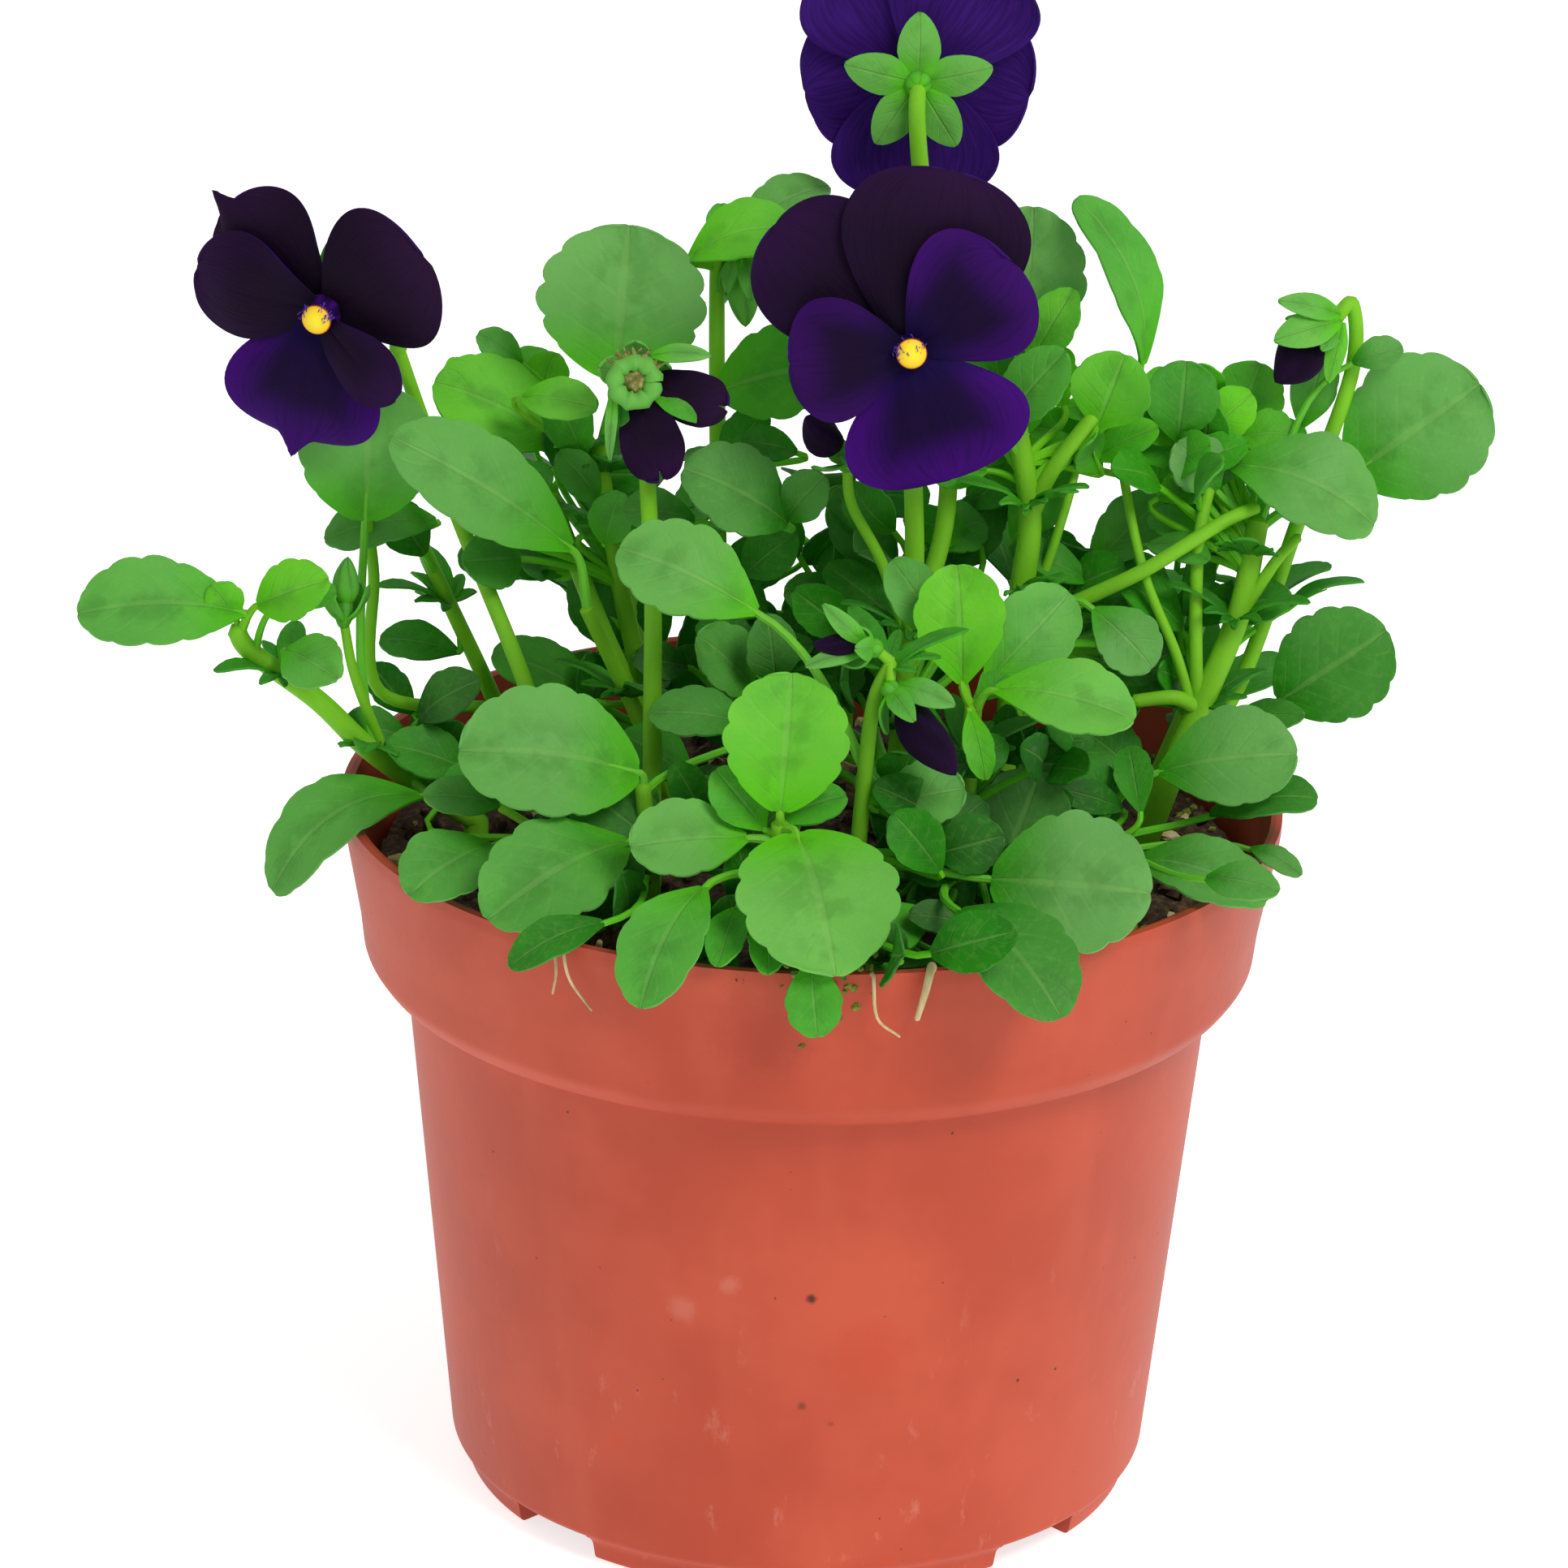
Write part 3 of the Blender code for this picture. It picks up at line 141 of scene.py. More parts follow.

# Each shoot: its stem's points from the soil up, its thickness, and what grows on it.
# A leaf is (where on the stem, blade's root, blade's tip, width, the way its upper side faces, arch), and
# where it has them its tone, which is partly painted shade, and its painted pale sheen.
# A stipule is (where on the stem, heading in degrees).
SHOOTS = {
    "shoot_front_rosette": {
        "stem": [(-3, -40, 86), (-3, -42, 94), (-4, -44, 105)],
        "thick": 3.6,
        "leaves": [
            (0.95, (-4, -45, 107), (-3, -40, 123), 15.5, (0, -3, 1), 0.08, (0.9, 0.2)),
            (0.95, (-2, -47, 105), (3, -65, 94), 20, (0, -1, 2), 0.12, (0.85, 0.55)),
            (0.85, (-8, -44, 103), (-22, -48, 103), 11, (0, -1, 1.2), 0.08, (0.7, 0.6)),
            (0.6, (-13, -53, 100), (-20, -67, 90), 11, (-0.5, -1, 1), 0.15, (0.6, 0.35)),
            (0.9, (-6, -43, 104), (-12, -42, 111), 7, (-0.3, -1, 1), 0.1, (0.65, 0.1)),
            (0.9, (-4, -43, 105), (4, -42, 108), 6, (0, -1, 1.3), 0.1, (0.6, 0.1)),
            (0.4, (0, -62, 94.5), (1, -65, 86), 7, (0, -3, 1), 0.1, (0.5, 0.15)),
        ],
    },
    "shoot_bud_pair": {
        "stem": [(5, -35, 86), (6, -36, 105), (7, -37, 118), (9, -38, 124)],
        "thick": 2.6,
        "leaves": [
            (0.6, (-7.5, -24, 125), (-24.5, -21, 131.8), 13, (0, -1, 1), 0.1, (0.7, 0.65)),
            (0.5, (8, -36, 104), (18.5, -36, 107), 9, (0, -1, 1), 0.08, (0.5, 0.5)),
            (0.25, (22, -43, 98), (41, -49, 99), 18, (0, -1.6, 1), 0.08, (0.42, 0.75)),
        ],
        "stipules": [(0.96, 150), (0.96, 30)],
    },
    "shoot_mid_rosette": {
        "stem": [(18, -26, 86), (19, -26, 104), (19.5, -26, 114)],
        "thick": 3.4,
        "leaves": [
            (0.97, (18, -26, 117), (17, -22, 131), 11.5, (0, -3, 1), 0.08, (0.95, 0.1)),
            (0.93, (16, -22, 121), (9, -18, 130), 7, (0, -1, 0.6), 0.08, (0.6, 0.45)),
            (0.93, (21, -25, 117), (31, -20, 127), 10.5, (0.2, -1, 0.6), 0.08, (0.7, 0.5)),
            (0.93, (22, -28, 117), (39, -32, 115), 10.5, (0, -1, 1.3), 0.12, (0.85, 0.45)),
            (0.15, (18, -51, 97), (30, -67, 90), 13.5, (0.3, -1, 1.2), 0.15, (0.25, 0.25)),
            (0.3, (21.9, -26, 88.2), (28.1, -24, 104.9), 13.5, (0.2, -1.4, 0.8), 0.08, (0.18, 0.35)),
            (0.2, (15, -40, 92.1), (3.4, -47, 87.6), 8.5, (0, -1, 1.6), 0.12),
            (0.5, (19.1, -24, 101.7), (21, -19, 109.5), 7, (-0.2, -1, 0.8), 0.1),
        ],
    },
    "shoot_front_left": {
        "stem": [(-20, -29, 86), (-20, -30, 95), (-21, -30, 104)],
        "thick": 3.2,
        "leaves": [
            (0.95, (-21.5, -30, 105.8), (-43.4, -34, 109.7), 18, (0, -1, 1), 0.1, (0.6, 0.65)),
            (0.7, (-22.5, -36, 99), (-39, -50, 94), 15, (-0.2, -1, 1), 0.12, (0.5, 0.4)),
            (0.5, (-39.5, -32, 96.5), (-49, -42, 93.5), 11, (-0.3, -1, 1), 0.12, (0.45, 0.4)),
            (0.3, (-25, -55, 96), (-36, -60, 92), 6, (-0.2, -1, 1.5), 0.12, (0.2, 0.1)),
            (0.4, (-17, -32, 95), (-30, -27, 103), 9.5, (0, -1, 1), 0.08, (0.25, 0.2)),
            (0.95, (-8, -20, 108.5), (-20.5, -18, 109), 8, (0, -1, 1.5), 0.1, (0.35, 0.4)),
            (0.7, (-15.4, -14, 98.7), (-24.3, -11, 103.5), 7.5, (0, -1, 1.2), 0.1),
        ],
    },
    "shoot_creeping": {
        "stem": [
            (-43, 3, 86), (-49.8, 0, 91.5), (-56.9, -4, 98.6), (-62.9, -5, 105), (-71, -6, 111.5),
            (-73, -6, 114.5),
        ],
        "thick": 3.8,
        "leaves": [
            (0.97, (-72, -7, 117.2), (-92.3, -11, 118), 13, (0, -1, 1.1), 0.12, (0.65, 0.5)),
            (0.97, (-70, -8, 118.6), (-60.8, -13, 124), 8, (0.1, -1, 0.6), 0.1, (0.95, 0.1)),
            (0.75, (-66.5, -8, 112.6), (-59.5, -15, 111.5), 8, (0, -1, 0.8), 0.1, (0.7, 0.45)),
            (0.25, (-49.5, -7, 93), (-67.5, -17, 83.5), 12.5, (-0.4, -0.6, 1), 0.26, (0.5, 0.5)),
            (0.42, (-57, 2, 126.5), (-56.5, 4, 144), 17.5, (0.1, -1, 0.3), 0.06, (0.55, 0.6)),
        ],
        "stipules": [(0.45, 200)],
    },
    "shoot_back_left": {
        "stem": [(-38, 17, 86), (-41, 13, 98), (-47, 10, 113), (-51.5, 8, 124)],
        "thick": 2.8,
        "leaves": [
            (0.97, (-48.5, 6, 125.3), (-62.4, 3, 123.5), 7.5, (0, -1, 1.2), 0.16, (0.45, 0.5)),
            (0.6, (-46, 11, 106), (-56, 12, 107), 6, (0, -1, 1.2), 0.1),
        ],
        "stipules": [(0.7, 200)],
    },
    "stalk_left_bloom": {
        "stem": [(-29, -8, 86), (-32, -7, 94), (-37, -5, 109), (-45, 0, 127), (-50, 2, 140), (-53, 0, 150)],
        "thick": 2.8,
    },
    "shoot_long_leaf": {
        "stem": [(-16, 2, 86), (-23, -2, 104), (-29, -5, 118)],
        "thick": 2.8,
        "leaves": [
            (0.97, (-31, -6, 126.5), (-53, -12, 142.5), 13, (-0.3, -1, 1), 0.08, (0.55, 0.6)),
            (0.15, (-42.7, 2, 92.2), (-54.2, 0, 97.1), 8, (0, -1, 1.4), 0.1),
        ],
    },
    "stalk_withered_bloom": {
        "stem": [
            (-20, -16, 86), (-20.3, -14, 110), (-20.5, -12, 122), (-21.5, -9, 137), (-22.5, -5.5, 147.5),
        ],
        "thick": 3.0,
    },
    "shoot_tall_left": {
        "stem": [(-18, 14, 86), (-24, 11, 110), (-27, 8, 128), (-28, 7, 136)],
        "thick": 3.2,
        "leaves": [
            (0.97, (-26, 4, 145.5), (-24.6, 6, 165), 21.5, (0, -1, 0.35), 0.06, (0.62, 0.8)),
            (0.95, (-33, 8, 135.6), (-48.8, 6, 143.8), 13, (0, -1, 1), 0.1, (0.9, 0.15)),
            (0.9, (-30, 4, 135), (-34, 2, 146), 6.5, (0, -1, 0.5), 0.1),
            (0.8, (-27, 3, 124), (-25, 0, 132), 6, (0, -1, 0.7), 0.1),
            (0.45, (-34.5, 10, 118.4), (-45.8, 8, 119.6), 7.5, (0, -1, 1.2), 0.12),
            (0.25, (-28, 10, 100.2), (-41.3, 8, 107), 8.5, (0, -1, 1.2), 0.1),
            (0.4, (-25, 13, 106.1), (-30.3, 11, 117.8), 7.5, (-0.3, -1, 0.6), 0.1),
        ],
    },
    "shoot_tall_mid": {
        "stem": [(-8, 12, 86), (-12, 9, 110), (-13, 8, 135), (-13.5, 8, 158), (-13, 8, 161)],
        "thick": 2.9,
        "leaves": [
            (0.97, (-11, 10, 162.2), (0.3, 14, 168.2), 8, (0, -1, 2.5), 0.15, (0.55, 0.7)),
            (0.97, (-17, 6.5, 160.6), (-3.4, 7, 164.4), 9, (0, -0.8, 1), 0.22, (0.85, 0.15)),
            (0.75, (-13.5, 4, 144), (1, 2, 148.6), 12.5, (0, -1, 0.7), 0.12, (0.62, 0.05)),
            (0.65, (-12, 6, 134), (-7, 4, 142), 6, (0, -1, 0.6), 0.1),
            (0.55, (-4, -6, 130.3), (-17, -10, 138.6), 12, (0, -1, 0.9), 0.12, (0.28, 0.45)),
            (0.3, (-8, -6, 108), (-15, -11, 117), 9, (0, -1, 1), 0.1, (0.45, 0.4)),
        ],
        "stipules": [(0.42, 220)],
    },
    "shoot_middle": {
        "stem": [(10, -4, 86), (11, -5, 105), (12, -5, 119)],
        "thick": 3.4,
        "leaves": [
            (0.9, (10, -1, 116), (1, 2, 122), 6, (0, -1, 0.8), 0.1),
            (0.7, (14, 0, 112), (20, 4, 120), 6, (0, -1, 0.8), 0.1),
            (0.8, (9.6, 8, 118.5), (2.1, 8, 130.3), 8, (-0.3, -1, 0.6), 0.1),
            (0.85, (15.8, 10, 118.7), (22.6, 12, 128.4), 8, (0.2, -1, 0.7), 0.1),
            (0.25, (0.8, 12, 97.7), (3.9, 17, 105.4), 8.5, (-0.2, -1, 0.6), 0.1),
        ],
    },
    "shoot_forked": {
        "stem": [(24, 1, 86), (25.6, 0, 117), (26.5, 0, 130), (24.4, 1, 142)],
        "thick": 4.2,
        "leaves": [
            (0.97, (24.8, 6, 149), (25.8, 8, 168), 15, (0, -1, 0.3), 0.06, (0.5, 0.75)),
            (0.97, (26, 4, 149), (31, 3, 159), 6.5, (0, -1, 0.6), 0.1, (0.8, 0.2)),
            (0.9, (23, -2, 143), (30, -4, 153), 8, (0, -1, 0.8), 0.1, (0.6, 0.3)),
            (0.85, (34.5, 0, 142), (37.5, -1.5, 152), 10.5, (0, -1, 0.6), 0.1, (0.8, 0.15)),
            (0.8, (40.1, 4, 149), (31, 5, 170.2), 9.5, (1, -0.8, 0.2), 0.16, (0.6, 0.3)),
            (0.5, (34.6, -9, 121), (42, -12, 114.4), 8.5, (0, -1, 0.8), 0.1, (0.45, 0.6)),
            (0.6, (35.1, 14, 118.3), (44.5, 16, 127.6), 8, (0, -1, 1), 0.1),
            (0.75, (24.9, 8, 123.7), (31, 10, 134.1), 7.5, (0, -1, 0.7), 0.1),
            (0.25, (31.1, 14, 101.6), (36, 18, 111.9), 9, (0, -1, 0.7), 0.1),
            (0.15, (33.7, 10, 97), (41.3, 15, 103.5), 8.5, (0, -1, 0.8), 0.1),
        ],
    },
    "shoot_right": {
        "stem": [(42, -3, 86), (45.5, -3, 97), (49.5, -2, 107.5), (53.4, 0, 118), (55.4, 3, 129)],
        "thick": 4.4,
        "leaves": [
            (0.85, (45, 6, 138.5), (45.6, 6, 149), 9.5, (0, -1, 0.8), 0.1, (0.4, 0.2)),
            (0.97, (52.5, 9, 138), (55.5, 10, 148), 9.5, (0, -1, 0.8), 0.1, (0.75, 0.15)),
            (0.9, (51.5, -2, 138.5), (69.8, -8, 133), 14, (0.2, -1, 1.1), 0.2, (0.5, 0.65)),
            (0.97, (67.4, 10, 133), (83.2, 12, 145), 19, (0.1, -1, 0.5), 0.06, (0.42, 0.6)),
            (0.6, (60, 10, 115), (70, 12, 118), 6, (0, 0.2, 1), 0.1),
            (0.4, (59.6, 8, 103), (72.8, 8, 113), 15, (0.2, -1, 0.5), 0.08, (0.25, 0.25)),
            (0.9, (46, 14, 119.5), (48.8, 15, 132.6), 7.5, (0, -1, 0.5), 0.08),
            (0.8, (51.1, 12, 120.3), (55.5, 14, 129.8), 7.5, (0.3, -1, 0.7), 0.1),
            (0.2, (41.8, 0, 94.7), (34.8, 3, 100), 8, (0, -1, 1), 0.1),
        ],
        "stipules": [(0.72, 190)],
    },
    "shoot_front_right": {
        "stem": [(33, -17, 86), (34, -17, 93)],
        "thick": 3.0,
        "leaves": [
            (0.9, (43.5, -13, 101), (60.4, -15, 104.5), 13.5, (0, -1, 0.9), 0.1, (0.4, 0.6)),
            (0.7, (50, -14, 95.8), (63.2, -16, 98.8), 9, (0, -0.3, 1), 0.1, (0.2, 0.2)),
            (0.7, (40, -26, 94), (56, -36, 93), 10, (0, -1, 1.6), 0.14, (0.4, 0.5)),
        ],
    },
}

DRY_STEM_WIDTH = 2.6
DRY_STEM = [(-28, -16, 86), (-31, -16, 90), (-37, -15, 99)]

# Shoots round the back: where each enters the soil, its height, and its leaves' headings in degrees.
BACK_SHOOTS = {
    "shoot_rear_left": ((-22, 34), 22, (100, 165, 45, 215)),
    "shoot_rear": ((4, 38), 30, (90, 20, 160, 250, 60)),
    "shoot_rear_right": ((27, 29), 26, (60, 110, 10, 240)),
    "shoot_rear_far_right": ((44, 17), 14, (40, 100, 350)),
}

# An open viola's petals, seen from its front: heading from its right, length, width, how far its root stands
# forward, how far it leans forward in degrees, and its arch.
OPEN_PETALS = (
    (118, 22.5, 18.5, -1.6, -4, 0.06),
    (58, 22.5, 23.5, -0.6, -2, 0.05),
    (166, 15, 15.5, 0.4, 4, 0.06),
    (23, 16.6, 18, 0.5, 5, 0.06),
    (-91, 17, 23.5, 0.2, -4, 0.08),
)
SHIELD_PETALS = (
    (118, 18, 20, -1.4, -4, 0.06),
    (62, 18, 20, -0.6, -4, 0.06),
    (194, 14.4, 17.5, 0.4, 2, 0.06),
    (-14, 14.4, 17.5, 0.5, 2, 0.06),
    (-90, 17.5, 21, 0.2, -2, 0.06),
)
# The left bloom's upper petals fold back and one side petal hangs.
FOLDED_PETALS = (
    (140, 17.6, 15.5, -1.8, -8, 0.1),
    (32, 14.8, 19, -0.8, -6, 0.14),
    (167, 17.3, 13.5, -0.2, -6, 0.12),
    (-40, 14, 8, 0.9, 10, 0.12),
    (-103, 17.2, 20.5, 0.2, 0, 0.08),
)
# A withered bloom keeps two petals.
LAST_PETALS = (
    (-74, 13, 7.8, 0, 4, 0.1),
    (-16, 12, 6.8, 0, 4, 0.1),
)
# Each bloom: where its petals meet, the way it faces, its roll in degrees, its petals, its sepals' length,
# width and lean in degrees, and its stalk: the shoot that bears it, where on that, the points between, and
# thickness.
BLOOMS = {
    "bloom_front": {
        "centre": (10.6, -15, 156.2),
        "facing": (0.05, -1, 0.15),
        "roll": 20,
        "petals": OPEN_PETALS,
        "sepals": (9, 4.6, 8),
        "stalk": ("shoot_middle", 0.85, [(12, -8, 126), (11.5, -9.5, 138), (11, -7.5, 148)], 2.8),
    },
    "bloom_top": {
        "centre": (10.9, 9, 185),
        "facing": (0, 1, 0.1),
        "roll": 0,
        "petals": SHIELD_PETALS,
        "sepals": (9.5, 5.4, 3),
        "stalk": ("shoot_middle", 0.85, [(16, 1, 130), (15, 4.5, 150), (12, 3.5, 170), (10.9, 3, 180)], 2.6),
    },
    "bloom_left": {
        "centre": (-61.8, -9, 157.3),
        "facing": (-0.25, -0.95, -0.05),
        "roll": 0,
        "petals": FOLDED_PETALS,
        "sepals": (8.5, 4.4, 12),
        "stalk": ("stalk_left_bloom", 1, [(-53.5, -1, 154)], 2.4),
    },
    "bloom_withered": {
        "centre": (-23.2, -11, 150.4),
        "facing": (0.02, -1, 0.2),
        "roll": 0,
        "petals": LAST_PETALS,
        "sepals": (5.5, 4, -35),
        "stalk": ("stalk_withered_bloom", 1, [], 2.4),
    },
}
SEPAL_ANGLES = (90, 15, 165, 238, 302)
# Each bud: its root and tip, its width, whether it shows violet, and its stalk, as above.
BUDS = {
    "bud_hanging": ((10.2, -40, 119.6), (17.2, -42, 111), 6, True, ("shoot_bud_pair", 1, [], 1.5)),
    "bud_pointing": ((5, -38.5, 126), (-0.6, -40, 126.8), 3, True, ("shoot_bud_pair", 1, [], 1.5)),
    "bud_middle": (
        (2, -9.5, 141), (-2, -10.5, 146), 5.2, True,
        ("shoot_middle", 0.85, [(8, -8, 126), (4, -9, 134)], 1.6),
    ),
    "bud_nodding": (
        (62.8, 10, 151.8), (57, 8, 145.8), 7, True,
        ("shoot_right", 0.25, [(54, 5, 106), (61, 8, 128), (66.8, 11, 146), (66.6, 12, 155)], 2.3),
    ),
    "bud_left": (
        (-59.3, -6, 118), (-58.9, -6, 124.6), 3.6, False,
        ("shoot_creeping", 0.36, [(-58, -5, 108)], 1.5),
    ),
    "bud_tall": ((-10.2, 7.2, 159.8), (-9.8, 6.2, 152), 4.4, False, ("shoot_tall_mid", 1, [], 1.8)),
}

# Petals that end in a point, and the tones of petals by their headings where they aren't the usual ones.
POINTED_PETALS = FOLDED_PETALS[:1] + FOLDED_PETALS[4:]
PETAL_TONES = {
    "bloom_front": {118: 0.08, 58: 0.04, 166: 0.5, 23: 0.7},
    "bloom_left": {140: 0, 32: 0, 167: 0.06, -40: 0.12, -103: 0.85},
    "bloom_withered": {-74: 0.05, -16: 0.03},
}
# What the fine piece adds to a shoot: small leaves and stipules, in the same terms.
SMALL_LEAVES = {
    "shoot_front_rosette": [
        (0.5, (-9, -52, 97), (-11, -62, 93.5), 5, (0, -1, 2), 0.1),
        (0.5, (-5, -54, 96), (-5, -64, 93.5), 5, (0, -1, 2), 0.12),
    ],
    "shoot_mid_rosette": [
        (0.9, (20, -26, 115), (25, -24, 119), 4.5, (0, -1, 1), 0.1),
        (0.85, (19, -28, 114), (21, -33, 107), 4, (0, -1, 1), 0.1),
    ],
    "shoot_front_left": [
        (0.4, (-47, -12, 94), (-41, -8, 98), 5, (0, -1, 1), 0.1),
        (0.7, (-38.8, -27, 100), (-48, -30, 102), 5.5, (0, -1, 1), 0.1, (0.35, 0.4)),
        (0.3, (-42, 6, 93), (-53.5, 4, 94), 7, (0, -1, 1), 0.1, (0.1, 0)),
    ],
    "shoot_creeping": [
        (0.9, (-67, -8, 119), (-60, -10, 121), 5, (0, -1, 1.2), 0.1),
        (0.97, (-73, -6, 116), (-76, -8, 121), 5.5, (0.3, -1, 0.3), 0.1, (0.9, 0.1)),
    ],
    "shoot_back_left": [(0.8, (-50, 6, 121), (-55, 5, 128), 6.5, (0, -1, 0.6), 0.1, (0.15, 0.05))],
    "shoot_tall_left": [
        (0.97, (-38, 10, 145.4), (-43.6, 10, 149.2), 4.5, (0, -1, 0.8), 0.1, (0.6, 0.4)),
        (0.85, (-28, 2, 130), (-33, 0, 137), 5.5, (0, -1, 1), 0.1),
    ],
    "shoot_tall_mid": [
        (0.5, (-15.7, 0, 128.4), (-24.6, -2, 130), 6.5, (0, -1, 1.2), 0.1, (0.3, 0.3)),
        (0.55, (-4, -6, 131), (0.6, -8, 137.4), 6.5, (0, -1, 0.8), 0.1, (0.35, 0.4)),
        (0.6, (-3, -2, 138.4), (-10, -2, 139.6), 5, (0, -1, 0.9), 0.1, (0.3, 0.1)),
        (0.3, (-5, -8, 110), (-6.2, -12, 120.4), 6.8, (0, -1, 0.7), 0.1, (0.3, 0.4)),
    ],
    "shoot_front_right": [
        (0.7, (48, -32, 94.5), (56.4, -36, 94.5), 5.5, (0, -1, 1), 0.1, (0.4, 0.5)),
        (0.5, (55, -17, 92.5), (61, -22, 91), 3.5, (0, -1, 1.4), 0.1, (0.3, 0.6)),
    ],
    "shoot_right": [
        (0.97, (50, -1, 134.6), (44.8, -2, 141.2), 8, (0, -1, 0.8), 0.1, (0.4, 0.7)),
        (0.97, (49.8, 1.5, 134.2), (51.4, 1.5, 140), 5, (0, -1, 0.6), 0.1, (0.2, 0.2)),
        (0.97, (66.8, 9, 148.4), (73, 9, 150.4), 4.5, (0, -1, 0.8), 0.1, (0.3, 0.5)),
        (0.97, (61, 9, 140), (63.6, 9, 150), 6, (0, -1, 0.5), 0.08, (0.6, 0.5)),
    ],
}
# Undergrowth from a seeded draw: where it leaves the stem, its middle, how far it spreads, how many leaves,
# and its tone, low for the low and inner entries as painted shade.
THICKETS = {
    "shoot_tall_mid": [
        (0.9, (-14, 11, 158), (3, 2, 4), 4, 0.65),
        (0.35, (-6, 7, 113), (9, 4, 8), 15, 0.26),
        (0.15, (-14, 14, 100), (8, 4, 6), 12, 0.12),
    ],
    "shoot_forked": [
        (0.85, (24, 7, 141), (3.5, 3, 8), 8, 0.55),
        (0.9, (35, 6, 139), (5, 3, 6), 8, 0.75),
        (0.45, (38, 10, 112), (9, 4, 8), 18, 0.28),
    ],
    "shoot_right": [
        (0.9, (49, 8, 139), (7, 3, 7), 10, 0.75),
        (0.85, (45, 7, 130), (6, 3, 7), 10, 0.55),
        (0.4, (51, 8, 108), (5, 3, 9), 8, 0.35),
    ],
    "shoot_tall_left": [
        (0.6, (-36, 9, 126), (8, 3, 10), 12, 0.34),
        (0.9, (-40, 8, 139), (6, 2, 4), 4, 0.9),
        (0.15, (-28, 13, 98), (5, 3, 5), 6, 0.14),
    ],
    "shoot_middle": [
        (0.6, (3, 8, 118), (8, 4, 10), 14, 0.26),
        (0.5, (18, 8, 118), (6, 4, 10), 10, 0.32),
        (0.15, (6, 13, 99), (8, 4, 6), 10, 0.1),
    ],
    "shoot_front_left": [
        (0.4, (-12, -28, 96), (7, 5, 4), 10, 0.14),
        (0.5, (-30, -36, 92), (8, 6, 3), 10, 0.14),
    ],
    "shoot_mid_rosette": [
        (0.4, (14, -36, 96), (9, 5, 5), 12, 0.12),
        (0.5, (28, -22, 100), (6, 5, 6), 8, 0.15),
    ],
    "shoot_front_rosette": [
        (0.4, (-14, -44, 91), (8, 5, 3), 8, 0.18),
        (0.4, (8, -48, 90), (8, 4, 2), 8, 0.16),
    ],
    "shoot_bud_pair": [
        (0.3, (20, -30, 95), (8, 4, 4), 12, 0.18),
        (0.5, (14, -30, 103), (6, 3, 5), 8, 0.22),
    ],
    "shoot_creeping": [(0.15, (-49, 4, 96), (4, 3, 4), 5, 0.1)],
    "shoot_front_right": [(0.6, (36, -14, 96), (6, 5, 4), 6, 0.12)],
}
# More stems: where each leaves its shoot, its points from there, and its thickness.
MORE_STEMS = {
    "shoot_forked": [
        (0.78, [(29, 0, 136), (34, 0, 143.5)], 2.4),
        (0.55, [(28, 2, 120), (31, 3, 130), (33, 6, 138)], 1.4),
        (0.5, [(31, -2, 118.5), (41, -3, 124.2), (50.5, -1, 130), (55, 2.5, 131)], 2.1),
    ],
    "shoot_right": [
        (0.42, [(45.5, -3, 113), (41.2, -2, 123), (38.5, 5, 133), (38, 8, 138)], 1.4),
        (0.45, [(48, -2, 113), (47.8, 0, 126), (49, 3, 133)], 1.9),
        (0.45, [(45.5, -4, 107.6), (40.4, -4, 107)], 2.2),
        (0.7, [(57.5, 1, 124), (60.5, 3, 127)], 1.7),
    ],
    "shoot_tall_left": [(0.12, [(-26, 7, 108), (-31.5, 9, 121), (-34, 9, 128)], 2.6)],
    "shoot_back_left": [(0.3, [(-55.5, 4, 103), (-56.2, 3, 119), (-57, 2, 127)], 1.7)],
    "shoot_mid_rosette": [(0.2, [(26, -30, 95.5), (34, -33, 99)], 1.5)],
    "shoot_front_left": [(0.7, [(-30, -29, 96), (-38.6, -27, 99.5)], 1.4)],
}
# Bracts and sepals that stand alone: root, tip, width, the way it faces, tone and painted pale sheen.
BRACTS = {
    "shoot_right": [
        ((64.9, 9, 154.6), (56.8, 6.5, 157), 3.4, (0, -1, 0.8), 0.75, 0.5),
        ((64.6, 8, 154), (56.4, 5, 152.2), 4.8, (0.2, -1, 0.8), 0.8, 0.45),
        ((65.2, 9, 153.6), (63.6, 7, 146.2), 2.6, (0, -1, 0.2), 0.9, 0.2),
    ],
    "shoot_bud_pair": [
        ((10, -39.5, 121.6), (16.8, -43, 120.4), 3.6, (0.2, -1, 0.8), 0.7, 0.6),
        ((5.8, -38.6, 126.6), (0.6, -40, 132), 2.6, (-0.3, -1, 0.4), 0.7, 0.5),
        ((5.4, -38.6, 125.4), (-1.4, -41, 124.2), 2.4, (0, -1, 1), 0.7, 0.6),
    ],
    "stalk_withered_bloom": [
        ((-21, -12.5, 154), (-13.8, -14, 154.6), 2.6, (0, -1, 1), 0.8, 0.6),
        ((-21, -12, 149.2), (-13.6, -12.5, 145.6), 3.6, (0, -1, 0.8), 0.5, 0.1),
        ((-25.6, -13, 149.4), (-26, -13.5, 140.6), 1.5, (-0.2, -1, 0), 0.75, 0.6),
        ((-24.6, -12.4, 148.2), (-25.2, -12.4, 141), 2.6, (-0.2, -1, 0), 0.25, 0.1),
    ],
}
